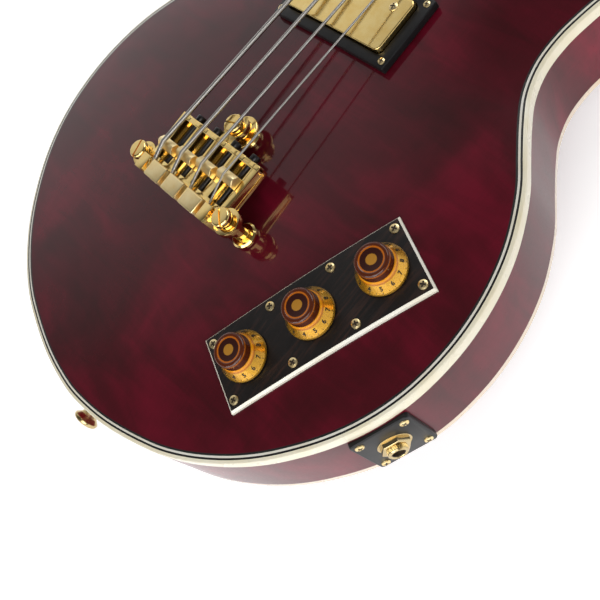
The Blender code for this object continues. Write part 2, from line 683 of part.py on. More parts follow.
def make_studs(top, gold):
    """Threaded studs that carry the bridge, and the flanged inserts they turn in."""
    rear = [
        (0, 80.7), (4.9, 80.7), (5.3, 80.2), (5.3, 77.4), (3.6, 77.0), (3.6, 71.2), (4.3, 70.9), (4.3, 69.4),
        (3.8, 69.0), (3.8, 61.0), (3.1, 60.4), (3.1, 44.0), (0, 44.0),
    ]
    front = [
        (0, 75.6), (5.0, 75.6), (5.4, 75.0), (5.4, 72.2), (3.6, 71.9), (3.6, 68.4), (5.2, 68.0), (5.2, 66.6),
        (9.4, 66.4), (9.4, 64.4), (3.8, 64.2), (3.1, 61.6), (3.1, 44.0), (0, 44.0),
    ]
    places = (
        ("bass", (-STUD_X, STUD_Y), rear),
        ("treble", (STUD_X, STUD_Y), rear),
        ("front", (0.0, FRONT_STUD_Y), front),
    )
    for name, (x, y), profile in places:
        turned_object("stud_" + name, [(r * MM, z * MM) for r, z in profile], gold, 16, None, (x, y, 0))
        around = ((7 * MM, 0), (-7 * MM, 0), (0, 7 * MM), (0, -7 * MM))
        seat = max(top.height(x + dx, y + dy) for dx, dy in around) + GAP
        flange = [
            (3.35 * MM, seat + 2.4 * MM), (6.2 * MM, seat + 2.4 * MM), (6.9 * MM, seat + 1.7 * MM),
            (6.9 * MM, seat),
            (5.0 * MM, seat - 0.5 * MM), (5.0 * MM, 40 * MM), (3.35 * MM, 40 * MM),
        ]
        turned_object("stud_insert_" + name, flange, gold, 16, None, (x, y, 0))


def bore_for_studs(target, key):
    for name, x, y in (("bass", -STUD_X, STUD_Y), ("treble", STUD_X, STUD_Y), ("front", 0.0, FRONT_STUD_Y)):
        hole = cylinder_mesh("insert_hole", 5.4 * MM, 38 * MM, 70 * MM, 20)
        boolean(target, add_cutter("cut_insert_%s_%s" % (name, key), hole, None, (x, y, 0)))


# ---------------------------------------------------------------- pickups

def make_pickup(name, y, top, gold, black):
    crown = top.height(0, y)
    ring = arched_slab_mesh("pickup_ring", top, (0, y), 0.0, (45 * MM, 21 * MM), 0.7 * MM, 5.2 * MM, (8, 2))
    ring_object = add_object("pickup_ring_" + name, ring, black)
    window = slab_mesh("window", [rounded_rectangle(38.6 * MM, 15.6 * MM, 3 * MM)], 30 * MM, 90 * MM)
    boolean(ring_object, add_cutter("cut_window_" + name, window, None, (0, y, 0)))
    loop = rounded_rectangle(38.2 * MM, 15.2 * MM, 2.8 * MM, 3)
    shell = slab_mesh("shell", [loop], crown - 12 * MM, crown + 7.4 * MM)
    pickup = add_object("pickup_" + name, shell, gold, None, (0, y, 0))
    bevel(pickup, 1.2 * MM, 1)


def cut_pickups(target, key, low):
    for name, y in (("bridge", 250 * MM), ("neck", 322 * MM)):
        window = slab_mesh("well", [rounded_rectangle(38.6 * MM, 15.6 * MM, 3 * MM)], low, 90 * MM)
        boolean(target, add_cutter("cut_well_%s_%s" % (name, key), window, None, (0, y, 0)))


# ---------------------------------------------------------------- controls

def plate_place(u, v):
    """World x, y of a point on the control plate: u across it, v along it."""
    x = PLATE_CENTRE[0] + u * math.cos(PLATE_ANGLE) - v * math.sin(PLATE_ANGLE)
    y = PLATE_CENTRE[1] + u * math.sin(PLATE_ANGLE) + v * math.cos(PLATE_ANGLE)
    return x, y


def make_control_plate(top, mat):
    mesh = arched_slab_mesh("control_plate", top, PLATE_CENTRE, PLATE_ANGLE, PLATE_HALF,
                            GAP, PLATE_THICKNESS, (4, 12))
    plate = add_object("control_plate", mesh, mat)
    for index, v in enumerate(KNOB_OFFSETS):
        x, y = plate_place(-0.7 * MM, v)
        hole = cylinder_mesh("pot_hole", 3.9 * MM, -10 * MM, 10 * MM, 20)
        location = (x, y, top.height(x, y))
        boolean(plate, add_cutter("cut_pot_%d" % index, hole, None, location, top.rotation(x, y)))


def make_control(index, top, amber, steel):
    """Potentiometer under the plate, its shaft, and the top-hat knob on the shaft."""
    x, y = plate_place(-0.7 * MM, KNOB_OFFSETS[index])
    location = Vector((x, y, top.height(x, y))) + top.normal(x, y) * PLATE_THICKNESS
    rotation = top.rotation(x, y)
    number = index + 1
    can = [
        (0, -10.4), (3.06, -10.4), (3.06, 2.6), (3.6, 2.6), (3.6, -3.0), (9.4, -3.0), (9.6, -3.4),
        (9.6, -13.0), (0, -13.0),
    ]
    turned_object("pot_%d" % number, [(r * MM, z * MM) for r, z in can], steel, 16, None, location, rotation)
    shaft = [(0, 10.4), (2.6, 10.4), (3.0, 10.0), (3.0, -10.2), (0, -10.2)]
    turned_object("shaft_%d" % number, [(r * MM, z * MM) for r, z in shaft], steel, 16, None, location, rotation)
    knob = [
        (0, 14.0), (7.6, 14.0), (8.5, 13.2), (8.8, 8.2), (12.6, 2.2), (12.85, 0.7),
        (12.2, 0.7), (8.2, 6.6), (5.4, 6.6), (5.4, 3.2), (3.1, 3.2), (3.1, 10.8), (0, 10.8),
    ]
    turned_object("knob_%d" % number, [(r * MM, z * MM) for r, z in knob], amber, 26, None, location, rotation)


def cut_controls(core, board):
    loop = rounded_rectangle(12.6 * MM, 49.5 * MM, 6 * MM)
    location = (*PLATE_CENTRE, 0)
    rotation = (0, 0, PLATE_ANGLE)
    well = slab_mesh("control_well", [loop], BACK_THICKNESS, 90 * MM)
    boolean(core, add_cutter("cut_control_core", well, None, location, rotation))
    boolean(board, add_cutter("cut_control_board", well.copy(), None, location, rotation))


def make_jack(outer_mat, gold):
    """Plate on the rim with the output socket through it; the socket's own Z points outwards."""
    rotation = (math.radians(90), 0, math.radians(90) + JACK_ANGLE)
    half_w = JACK_PLATE[0] / 2
    half_h = JACK_PLATE[1] / 2
    loops = [rounded_rectangle(half_w, half_h, 2.4 * MM), circle(4.9 * MM, 24)]
    mesh = slab_mesh("jack_plate", loops, 0, JACK_PLATE[2])
    add_object("jack_plate", mesh, outer_mat, None, JACK_CENTRE, rotation)
    bore = JACK_BORE / MM
    socket = [
        (bore, 8.2), (4.4, 8.2), (4.6, 7.9), (4.6, 5.4), (7.1, 5.3), (7.4, 5.0), (7.4, 3.2), (7.1, 2.9),
        (4.6, 2.9), (4.6, -3.0), (6.5, -3.0), (6.5, -17.0), (bore, -17.0),
    ]
    points = [(r * MM, z * MM) for r, z in socket]
    turned_object("jack_socket", points, gold, 24, None, JACK_CENTRE, rotation)
    return rotation


def cut_jack(core, rotation):
    hole = cylinder_mesh("jack_hole", 7.2 * MM, -50 * MM, 6 * MM, 24)
    boolean(core, add_cutter("cut_jack_hole", hole, None, JACK_CENTRE, rotation))


# ---------------------------------------------------------------- assembly

def move_origin():
    """Puts the world's origin on the back, under the crown of the arch."""
    for obj in (*PARTS.objects, *CUTTERS.objects):
        if obj.parent is None:
            obj.location.y -= LOWER_CENTRE_Y


def main():
    global PARTS, CUTTERS
    clear_scene()
    PARTS = new_collection("bass_guitar")
    CUTTERS = new_collection("cutters")
    wine = material("wine_lacquer", (0.17, 0.012, 0.022), 0.08)
    cream = material("cream_binding", (0.86, 0.79, 0.58), 0.3)
    black = material("black_plastic", (0.02, 0.02, 0.022), 0.35)
    gold = material("gold_plate", (0.95, 0.68, 0.27), 0.14, 1.0)
    pale_gold = material("pale_gold", (0.95, 0.8, 0.5), 0.22, 1.0)
    rosewood = material("rosewood", (0.06, 0.022, 0.018), 0.4)
    steel = material("string_steel", (0.72, 0.72, 0.7), 0.28, 1.0)
    amber = material("amber_knob", (0.62, 0.26, 0.02), 0.12)
    bone = material("bone_nut", (0.88, 0.84, 0.72), 0.4)

    neck_frame = bpy.data.objects.new("neck_frame", None)
    PARTS.objects.link(neck_frame)
    neck_frame.location = (0, NUT_Y, BOARD_AT_NUT_Z)
    neck_frame.rotation_euler = (-BOARD_ANGLE, 0, 0)
    head_frame = bpy.data.objects.new("head_frame", None)
    PARTS.objects.link(head_frame)
    head_frame.parent = neck_frame
    head_frame.location = (0, 5.6 * MM, -4.0 * MM)
    head_frame.rotation_euler = (-HEAD_ANGLE, 0, 0)
    bpy.context.view_layer.update()

    outline = smooth_loop(BODY_OUTLINE, OUTLINE_POINTS)
    top = TopSurface(outline)
    core = make_body_core(outline, wine)
    board = make_top_board(outline, top, wine)
    binding, purfling = make_bindings(outline, cream, black)
    make_strap_button("strap_button_tail", (0, -GAP, 23.4 * MM), (0, -1, 0), gold)
    shoulder = (-58.4 * MM, 423.3 * MM, 23.4 * MM)
    make_strap_button("strap_button_shoulder", shoulder, (-0.36, 0.93, 0), gold)

    make_neck(neck_frame, head_frame, wine)
    make_fingerboard(neck_frame, rosewood)
    make_nut(neck_frame, bone)
    make_truss_rod(neck_frame, head_frame, steel, black)
    for name, (side, x, y) in zip(STRING_NAMES, TUNER_PLACES):
        make_tuner(name, side, x, y, head_frame, gold)
    pocket = box_mesh("pocket", (-22.3 * MM, -560.4 * MM, -40.4 * MM), (22.3 * MM, -380 * MM, 10 * MM))
    for target in (core, board, binding, purfling):
        boolean(target, add_cutter("cut_pocket_" + target.name, pocket.copy(), neck_frame))

    make_bridge_frame(gold)
    make_studs(top, gold)
    bore_for_studs(core, "core")
    bore_for_studs(board, "board")
    for index in range(4):
        make_saddle(index, pale_gold)
        make_intonation_screw(index, black)
        make_string(index, neck_frame, head_frame, steel)

    make_pickup("bridge", 250 * MM, top, gold, black)
    make_pickup("neck", 322 * MM, top, gold, black)
    cut_pickups(core, "core", 22 * MM)
    cut_pickups(board, "board", 22 * MM)

    make_control_plate(top, rosewood)
    for index in range(3):
        make_control(index, top, amber, steel)
    cut_controls(core, board)
    rotation = make_jack(black, gold)
    cut_jack(core, rotation)

    move_origin()


main()
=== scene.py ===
import json
import math

import bmesh
import bpy
from mathutils import Matrix, Vector
from mathutils.bvhtree import BVHTree

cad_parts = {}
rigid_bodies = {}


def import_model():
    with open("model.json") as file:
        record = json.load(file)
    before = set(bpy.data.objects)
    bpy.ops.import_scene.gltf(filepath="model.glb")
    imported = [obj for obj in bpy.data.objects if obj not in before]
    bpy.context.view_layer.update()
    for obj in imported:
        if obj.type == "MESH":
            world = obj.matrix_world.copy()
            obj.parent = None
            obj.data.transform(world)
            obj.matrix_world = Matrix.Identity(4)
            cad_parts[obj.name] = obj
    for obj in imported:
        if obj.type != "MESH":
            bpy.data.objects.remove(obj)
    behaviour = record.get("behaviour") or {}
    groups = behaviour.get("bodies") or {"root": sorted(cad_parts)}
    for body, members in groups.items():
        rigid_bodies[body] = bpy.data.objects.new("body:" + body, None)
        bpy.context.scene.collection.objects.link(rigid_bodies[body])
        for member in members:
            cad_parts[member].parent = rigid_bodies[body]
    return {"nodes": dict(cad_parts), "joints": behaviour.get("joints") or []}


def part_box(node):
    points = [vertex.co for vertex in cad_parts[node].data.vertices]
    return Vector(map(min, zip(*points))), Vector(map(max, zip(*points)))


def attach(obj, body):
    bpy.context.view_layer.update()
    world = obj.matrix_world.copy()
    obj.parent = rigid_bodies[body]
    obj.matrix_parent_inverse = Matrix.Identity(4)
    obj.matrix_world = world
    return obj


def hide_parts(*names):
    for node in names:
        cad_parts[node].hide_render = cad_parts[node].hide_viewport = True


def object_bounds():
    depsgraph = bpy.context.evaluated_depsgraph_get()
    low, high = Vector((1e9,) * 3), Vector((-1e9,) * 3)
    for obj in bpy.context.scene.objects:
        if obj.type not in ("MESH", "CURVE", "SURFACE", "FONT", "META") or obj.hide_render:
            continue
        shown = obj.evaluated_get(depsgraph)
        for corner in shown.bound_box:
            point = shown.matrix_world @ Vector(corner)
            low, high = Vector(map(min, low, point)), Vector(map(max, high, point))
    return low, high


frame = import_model()
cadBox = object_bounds()

mm = 0.001
joints = {joint["name"]: joint for joint in frame["joints"]}
stringNames = ("e", "a", "d", "g")
root = "instrument"
up = Vector((0, 0, 1))
print("frame loaded:", len(frame["nodes"]), "parts")


# node trees: a socket that Python's operators work on, and a net that makes any node

class Sock:
    def __init__(self, net, socket):
        self.net = net
        self.socket = socket

    def math(self, operation, *values):
        return self.net.node("ShaderNodeMath", {"operation": operation}, dict(enumerate(values)))

    def __add__(self, other):
        return self.math("ADD", self, other)

    def __sub__(self, other):
        return self.math("SUBTRACT", self, other)

    def __mul__(self, other):
        return self.math("MULTIPLY", self, other)

    def __truediv__(self, other):
        return self.math("DIVIDE", self, other)

    def __pow__(self, other):
        return self.math("POWER", self, other)

    def __gt__(self, other):
        return self.math("GREATER_THAN", self, other)

    def __lt__(self, other):
        return self.math("LESS_THAN", self, other)

    def __rsub__(self, other):
        return self.math("SUBTRACT", other, self)

    def __rtruediv__(self, other):
        return self.math("DIVIDE", other, self)

    def __rpow__(self, other):
        return self.math("POWER", other, self)

    __radd__ = __add__
    __rmul__ = __mul__


class Net:
    def __init__(self, tree):
        self.tree = tree

    def node(self, kind, settings=None, inputs=None, out=0):
        made = self.tree.nodes.new(kind)
        for key, value in (settings or {}).items():
            if key == "stops":                              # a ramp's (place, colour) pairs
                ramp = made.color_ramp
                while len(ramp.elements) < len(value):
                    ramp.elements.new(1.0)
                for element, (place, colour) in zip(ramp.elements, value):
                    element.position = place
                    element.color = (*colour, 1.0)
            else:
                setattr(made, key, value)
        for key, value in (inputs or {}).items():
            if isinstance(value, Sock):
                self.tree.links.new(value.socket, made.inputs[key])
            else:
                made.inputs[key].default_value = value
        return Sock(self, made.outputs[out]) if len(made.outputs) else None

    def point(self, axes):
        return self.node("ShaderNodeCombineXYZ", None, axes)


def rgba(colour):
    return (*colour, 1.0)


class Finish(Net):
    # a material with one Principled shader, whose sockets done() sets or links
    def __init__(self, name):
        self.material = bpy.data.materials.new(name)
        self.material.use_nodes = True
        super().__init__(self.material.node_tree)
        self.tree.nodes.clear()

    def place(self, scale=(1, 1, 1), turn=(0, 0, 0), centre=(0, 0, 0), kind="POINT"):
        spot = self.node("ShaderNodeTexCoord", out="Object")
        inputs = {"Vector": spot, "Location": centre, "Rotation": turn, "Scale": scale}
        return self.node("ShaderNodeMapping", {"vector_type": kind}, inputs)

    def noise(self, spot, scale, detail=3.0, rough=0.5, distort=0.0):
        inputs = {"Vector": spot, "Scale": scale, "Detail": detail, "Roughness": rough, "Distortion": distort}
        return self.node("ShaderNodeTexNoise", None, inputs)

    def ramp(self, factor, stops):
        return self.node("ShaderNodeValToRGB", {"stops": stops}, {"Fac": factor})

    def mix(self, factor, low, high):
        low, high = (end if isinstance(end, Sock) else rgba(end) for end in (low, high))
        return self.node("ShaderNodeMix", {"data_type": "RGBA"}, {0: factor, 6: low, 7: high}, 2)

    def clamp(self, value, low, high):
        return self.node("ShaderNodeMapRange", None, {0: value, 1: low, 2: high, 3: 0.0, 4: 1.0})

    def bump(self, height, distance, strength):
        inputs = {"Height": height, "Distance": distance, "Strength": strength}
        return self.node("ShaderNodeBump", None, inputs)

    def done(self, colour, rough, sockets):
        inputs = {"Base Color": colour if isinstance(colour, Sock) else rgba(colour), "Roughness": rough}
        shader = self.node("ShaderNodeBsdfPrincipled", None, {**inputs, **sockets})
        self.node("ShaderNodeOutputMaterial", None, {"Surface": shader})
        return self.material


lacquerLook = {
    "tints": ((0.036, 0.0035, 0.0052), (0.062, 0.0035, 0.008), (0.118, 0.0038, 0.014)),
    "tintsAt": (0.35, 0.49, 0.65), "patch": 15.0, "flame": (14, 62, 14), "flameTurn": 0.62,
    "grain": (900, 60, 900), "shares": (0.62, 0.30, 0.08), "peel": 0.00002, "polish": 0.035,
}


def lacquer(name, lift=1.0, turn=0.0, coat=1.0, rough=0.14):
    net = Finish(name)
    look = lacquerLook
    patches = net.noise(net.place(turn=(0, 0, turn)), look["patch"], 3.0, 0.55, 0.6)
    flame = net.noise(net.place(look["flame"], (0, 0, look["flameTurn"] + turn)), 1.0, 4.0, 0.6, 1.2)
    grain = net.noise(net.place(look["grain"], (0, 0, turn)), 1.0, 4.0, 0.6)
    patchShare, flameShare, grainShare = look["shares"]
    tone = patches * patchShare + flame * flameShare + grain * grainShare
    tints = [[c * lift for c in tint] for tint in look["tints"]]
    colour = net.ramp(tone, list(zip(look["tintsAt"], tints)))
    haze = net.noise(net.place(), 900.0, 2.0) * 0.10 + rough
    wave = net.bump(net.noise(net.place(), 260.0, 2.0), look["peel"], 0.5)
    return net.done(colour, haze, {
        "Normal": wave, "Coat Weight": coat, "Coat Roughness": look["polish"], "Coat IOR": 1.38,
        "Specular IOR Level": 0.12})


def celluloid(name, tint):
    net = Finish(name)
    cloud = net.noise(net.place(), 45.0, 4.0, 0.6)
    line = net.noise(net.place((700, 700, 60)), 1.0, 3.0)
    aged = net.mix(net.clamp(cloud, 0.35, 0.7), tint, [c * f for c, f in zip(tint, (0.93, 0.88, 0.76))])
    colour = net.mix(line * 0.25, aged, [c * 0.8 for c in tint])
    return net.done(colour, cloud * 0.2 + 0.18, {
        "Normal": net.bump(line, 0.00002, 0.3), "Coat Weight": 0.7, "Coat Roughness": 0.06})


def plated(name, tint, rough, swirl=0.06):
    net = Finish(name)
    haze = net.noise(net.place(), 160.0, 4.0, 0.6)
    lines = net.noise(net.place((1400, 240, 1400)), 1.0, 3.0)
    colour = net.mix(net.clamp(haze, 0.35, 0.7), tint, [c * f for c, f in zip(tint, (0.94, 0.86, 0.70))])
    return net.done(colour, haze * swirl + rough, {"Metallic": 1.0, "Normal": net.bump(lines, 0.000006, 0.4)})


def moulded(name, tint, rough, coat=0.0, gloss=0.5):
    net = Finish(name)
    grain = net.noise(net.place(), 1500.0, 3.0)
    wear = net.noise(net.place(), 70.0, 4.0, 0.6)
    colour = net.mix(wear, tint, [c * 1.7 + 0.004 for c in tint])
    return net.done(colour, wear * 0.16 + rough, {
        "Normal": net.bump(grain, 0.00002, 0.5), "Coat Weight": coat, "Coat Roughness": 0.08,
        "Specular IOR Level": gloss})


woodLook = {"dark": (0.008, 0.006, 0.0055), "streak": (0.046, 0.018, 0.012), "pore": (0.004, 0.003, 0.003)}


def darkWood(name, turn=0.0):
    net = Finish(name)
    fibre = net.noise(net.place((420, 26, 420), (0, 0, -turn)), 1.0, 6.0, 0.66, 0.5)
    pore = net.noise(net.place((2600, 120, 2600), (0, 0, -turn)), 1.0, 3.0, 0.6)
    pores = net.clamp(pore, 0.56, 0.64)
    colour = net.mix(net.clamp(fibre, 0.50, 0.76), woodLook["dark"], woodLook["streak"])
    colour = net.mix(pores * 0.6, colour, woodLook["pore"])
    return net.done(colour, fibre * 0.25 + 0.2, {
        "Normal": net.bump(pores * -1.0, 0.00003, 0.5), "Coat Weight": 0.2, "Coat Roughness": 0.2})


def woundSteel(name, pitch):
    net = Finish(name)
    along = net.node("ShaderNodeSeparateXYZ", None, {"Vector": net.place()}, "Y")
    phase = along * (2 * math.pi / pitch)
    turns = phase.math("SINE", phase)
    smear = net.noise(net.place((900, 40, 900)), 1.0, 3.0)
    # the grooves between the windings are painted darker than the crowns: painted shade
    grooveShade = net.clamp(turns, -1.0, 0.3)
    colour = net.mix(grooveShade, (0.26, 0.25, 0.23), (0.52, 0.50, 0.47))
    return net.done(colour, smear * 0.14 + 0.26, {
        "Metallic": 1.0, "Normal": net.bump(turns, pitch * 0.12, 0.4)})


# the "ring" tint is the amber brightened into a band round the hat's foot: a painted highlight
knobLook = {
    "dot": (0.72, 0.33, 0.04), "disc": (0.030, 0.005, 0.003), "amber": (0.46, 0.12, 0.006),
    "brown": (0.080, 0.014, 0.003), "ring": (0.85, 0.33, 0.01), "gold": (0.80, 0.42, 0.035),
    "fleck": (0.35, 0.14, 0.012), "topRadius": 9.0, "high": 14.0, "topFrom": 13.15, "skirtTo": 6.7,
    "dotRadius": 2.7,
    "top": ((0.0, "dot"), (0.28, "dot"), (0.31, "disc"), (0.60, "disc"), (0.64, "amber"), (0.68, "amber"),
            (0.72, "brown"), (0.97, "brown")),
    "side": ((0.0, "brown"), (0.10, "gold"), (0.44, "gold"), (0.49, "amber"), (0.53, "ring"), (0.585, "ring"),
             (0.62, "brown"), (0.86, "brown"), (0.93, "amber")),
}


def amberKnob(name, joint):
    # colour by radius on the flat top and by height on the sides, in the knob's own axes
    net = Finish(name)
    look = knobLook
    turn = Vector(joint["axis"]).to_track_quat("Z", "Y").to_euler()
    spot = net.place(turn=tuple(turn), centre=tuple(joint["pos_m"]), kind="TEXTURE")
    x, y, z = (net.node("ShaderNodeSeparateXYZ", None, {"Vector": spot}, axis) for axis in "XYZ")
    radius = (x * x + y * y) ** 0.5
    speck = net.noise(net.place(), 1900.0, 3.0, 0.7)
    top = net.ramp(radius / (look["topRadius"] * mm), [(place, look[tint]) for place, tint in look["top"]])
    # the side ramp paints the "ring" band at the hat's foot bright orange, a painted highlight
    side = net.ramp(z / (look["high"] * mm), [(place, look[tint]) for place, tint in look["side"]])
    isTop = z > look["topFrom"] * mm
    isSkirt = (z < look["skirtTo"] * mm) * (1 - isTop)
    colour = net.mix(isTop, side, top)
    colour = net.mix(isSkirt * net.clamp(speck, 0.45, 0.75) * 0.5, colour, look["fleck"])
    shine = isSkirt * 0.75 + isTop * (radius < look["dotRadius"] * mm) * 0.6
    return net.done(colour, speck * 0.1 + 0.2, {
        "Metallic": shine, "Normal": net.bump(speck, 0.00003, 0.25), "Coat Weight": 0.8,
        "Coat Roughness": 0.03, "Coat IOR": 1.4, "Specular IOR Level": 0.2})


wine = lacquer("wineLacquer")
wineSide = lacquer("wineLacquerSides", 1.55, 1.1, 0.5, 0.25)
cream = celluloid("agedCream", (0.80, 0.75, 0.60))
plateCream = celluloid("plateCream", (0.95, 0.92, 0.82))
creamBack = celluloid("paleCream", (0.80, 0.66, 0.52))
lineBlack = moulded("inlaidBlack", (0.008, 0.008, 0.008), 0.16, coat=0.8)
lineWhite = celluloid("inlaidWhite", (0.74, 0.72, 0.66))
gold = plated("goldPlate", (1.0, 0.76, 0.32), 0.10)
paleGold = plated("satinGold", (1.0, 0.82, 0.46), 0.30, 0.05)
agedGold = plated("agedGold", (0.62, 0.50, 0.28), 0.16)
blackSteel = plated("blackenedSteel", (0.05, 0.05, 0.055), 0.28, 0.1)
brightSteel = plated("brightSteel", (0.62, 0.61, 0.59), 0.2, 0.1)
twistSteel = plated("twistedSteel", (0.36, 0.35, 0.34), 0.26, 0.1)
blackPlastic = moulded("blackPlastic", (0.005, 0.005, 0.0055), 0.3, coat=0.08, gloss=0.25)
boneWhite = moulded("bone", (0.72, 0.66, 0.52), 0.3)
pearl = celluloid("pearlInlay", (0.72, 0.74, 0.70))
# black ink for the knobs' printed numbers, also used as painted shade in screw recesses and inside the jack
inkAndShadeBlack = moulded("dialInkAndShade", (0.018, 0.010, 0.004), 0.4)
print("finishes made:", len(bpy.data.materials))


# mesh helpers: every piece is closed, and its place is in its mesh

def inScene(name, data):
    thing = bpy.data.objects.new(name, data)
    bpy.context.scene.collection.objects.link(thing)
    return thing


def plainMesh(name, bm):
    mesh = bpy.data.meshes.new(name)
    bm.to_mesh(mesh)
    bm.free()
    return mesh


def newPiece(name, bm, material, smooth=30.0, replaces=(), body=root):
    bmesh.ops.recalc_face_normals(bm, faces=bm.faces)
    return meshPiece(name, plainMesh(name, bm), material, smooth, replaces, body)


def meshPiece(name, mesh, material, smooth=30.0, replaces=(), body=root):
    if material.name not in mesh.materials:
        mesh.materials.append(material)
    mesh.validate()
    mesh.shade_smooth()
    mesh.set_sharp_from_angle(angle=math.radians(smooth))
    piece = inScene(name, mesh)
    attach(piece, body)
    if replaces:
        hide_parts(*replaces)
    return piece


def standing(position, axis, spin=0.0):
    turn = Vector(axis).to_track_quat("Z", "Y").to_matrix().to_4x4()
    return Matrix.Translation(position) @ turn @ Matrix.Rotation(spin, 4, "Z")


def ringAt(bm, loop, height):
    return [bm.verts.new((p.x, p.y, height * mm)) for p in loop]


def skinInto(bm, rows, capped=True):
    # faces between neighbouring rings of vertices
    for row, following in zip(rows, rows[1:]):
        for i in range(len(row)):
            j = (i + 1) % len(row)
            bm.faces.new((row[i], row[j], following[j], following[i]))
    if capped:
        bm.faces.new(rows[0])
        bm.faces.new(rows[-1])


def lathed(profile, steps, matrix):
    # turned skin through (radius, height) pairs in mm; ends off the axis close into a ring
    bm = bmesh.new()
    angles = [2 * math.pi * i / steps for i in range(steps)]
    rows = []
    for radius, height in profile:
        if radius < 1e-6:
            rows.append([bm.verts.new(matrix @ Vector((0, 0, height * mm)))])
        else:
            spots = [Vector((math.cos(a) * radius, math.sin(a) * radius, height)) * mm for a in angles]
            rows.append([bm.verts.new(matrix @ spot) for spot in spots])
    if len(rows[0]) > 1:
        rows.append(rows[0])
    for low, high in zip(rows, rows[1:]):
        for i in range(steps):
            j = (i + 1) % steps
            corners = [low[i % len(low)], low[j % len(low)], high[j % len(high)], high[i % len(high)]]
            unique = list(dict.fromkeys(corners))
            if len(unique) > 2:
                bm.faces.new(unique)
    return bm


def rounded(profile, radius=0.3):
    # each corner of a profile is cut into a small three-point curve
    result = [profile[0]]
    for before, corner, after in zip(profile, profile[1:], profile[2:]):
        a, b, c = (Vector((*p, 0)) for p in (before, corner, after))
        reach = min(radius, (a - b).length * 0.4, (c - b).length * 0.4)
        start = b + (a - b).normalized() * reach
        end = b + (c - b).normalized() * reach
        middle = b * 0.5 + (start + end) * 0.25
        result += [(p.x, p.y) for p in (start, middle, end)]
    return result + [profile[-1]]


def boxInto(bm, low, high, matrix=Matrix.Identity(4), round=0.0, segments=4):
    size = [(b - a) * mm for a, b in zip(low, high)]
    middle = Matrix.Translation([(a + b) * mm / 2 for a, b in zip(low, high)])
    verts = bmesh.ops.create_cube(bm, size=1.0, matrix=middle @ Matrix.Diagonal((*size, 1)))["verts"]
    if round:
        edges = list({edge for vertex in verts for edge in vertex.link_edges})
        done = bmesh.ops.bevel(bm, geom=edges, offset=round * mm, segments=segments, affect="EDGES",
                               profile=0.5)
        verts = list(set(done["verts"]) | {v for v in verts if v.is_valid})
    for vertex in verts:
        vertex.co = matrix @ vertex.co


def boxTool(name, low, high, matrix=Matrix.Identity(4)):
    bm = bmesh.new()
    boxInto(bm, low, high, matrix)
    return plainMesh(name, bm)


def prismInto(bm, outline, low, high, matrix=Matrix.Identity(4), round=0.0):
    # flat outline in mm, raised between two heights
    loop = [bm.verts.new(Vector((x, y, low)) * mm) for x, y in outline]
    face = bm.faces.new(loop)
    lifted = bmesh.ops.extrude_face_region(bm, geom=[face])
    top = [v for v in lifted["geom"] if isinstance(v, bmesh.types.BMVert)]
    for vertex in top:
        vertex.co.z = high * mm
    verts = loop + top
    if round:
        edges = [e for e in bm.edges if e.verts[0] in top and e.verts[1] in top]
        done = bmesh.ops.bevel(bm, geom=edges, offset=round * mm, segments=3, affect="EDGES", profile=0.5)
        verts = list({v for v in verts if v.is_valid} | set(done["verts"]))
    for vertex in verts:
        vertex.co = matrix @ vertex.co


def roundedBox(halfX, halfY, radius, steps=6):
    points = []
    for corner in range(4):
        cx = (halfX - radius) * (1 if corner in (0, 3) else -1)
        cy = (halfY - radius) * (1 if corner in (0, 1) else -1)
        for step in range(steps + 1):
            angle = math.radians(90 * corner + 90 * step / steps)
            points.append((cx + radius * math.cos(angle), cy + radius * math.sin(angle)))
    return points


def mergedCopy(node, dissolve=True):
    bm = bmesh.new()
    bm.from_mesh(frame["nodes"][node].data)
    bmesh.ops.remove_doubles(bm, verts=bm.verts, dist=2e-6)
    if dissolve:
        bmesh.ops.dissolve_limit(bm, angle_limit=math.radians(0.6), verts=bm.verts, edges=bm.edges)
    return bm


def cutWith(mesh, tools):
    # Booleans on a mesh, then back to a plain mesh
    holder = inScene("holder", mesh)
    spare = [inScene("cutter", tool) for tool in tools]
    for cutter in spare:
        modifier = holder.modifiers.new("cut", "BOOLEAN")
        modifier.operation = "DIFFERENCE"
        modifier.solver = "EXACT"
        modifier.object = cutter
    result = evaluated(holder)
    for thing in (holder, *spare):
        bpy.data.objects.remove(thing)
    return result


def evaluated(holder):
    bpy.context.view_layer.update()
    graph = bpy.context.evaluated_depsgraph_get()
    return bpy.data.meshes.new_from_object(holder.evaluated_get(graph))


def softened(name, node, material, round=0.3, segments=3, smooth=30.0, angle=30.0, cuts=(), body=root):
    # a CAD part again, with its edges rounded
    mesh = plainMesh(name, mergedCopy(node))
    if cuts:
        mesh = cutWith(mesh, cuts)
    holder = inScene("holder", mesh)
    modifier = holder.modifiers.new("edges", "BEVEL")
    modifier.width = round * mm
    modifier.segments = segments
    modifier.limit_method = "ANGLE"
    modifier.angle_limit = math.radians(angle)
    result = evaluated(holder)
    bpy.data.objects.remove(holder)
    result.materials.clear()
    return meshPiece(name, result, material, smooth, (node,), body)


# geometry node trees

class Growth(Net):
    def __init__(self, name, sizes):
        self.group = bpy.data.node_groups.new(name, "GeometryNodeTree")
        super().__init__(self.group)
        self.group.interface.new_socket("Geometry", in_out="INPUT", socket_type="NodeSocketGeometry")
        self.group.interface.new_socket("Geometry", in_out="OUTPUT", socket_type="NodeSocketGeometry")
        self.ids = {}
        for label, value in sizes.items():
            socket = self.group.interface.new_socket(label, in_out="INPUT", socket_type="NodeSocketFloat")
            socket.default_value = value
            self.ids[label] = socket.identifier
        self.start = self.group.nodes.new("NodeGroupInput")

    def size(self, label):
        return Sock(self, self.start.outputs[label])

    def close(self, geometry, material):
        real = self.node("GeometryNodeRealizeInstances", None, {"Geometry": geometry})
        painted = self.node("GeometryNodeSetMaterial", None, {"Geometry": real, "Material": material})
        self.node("NodeGroupOutput", None, {"Geometry": painted})


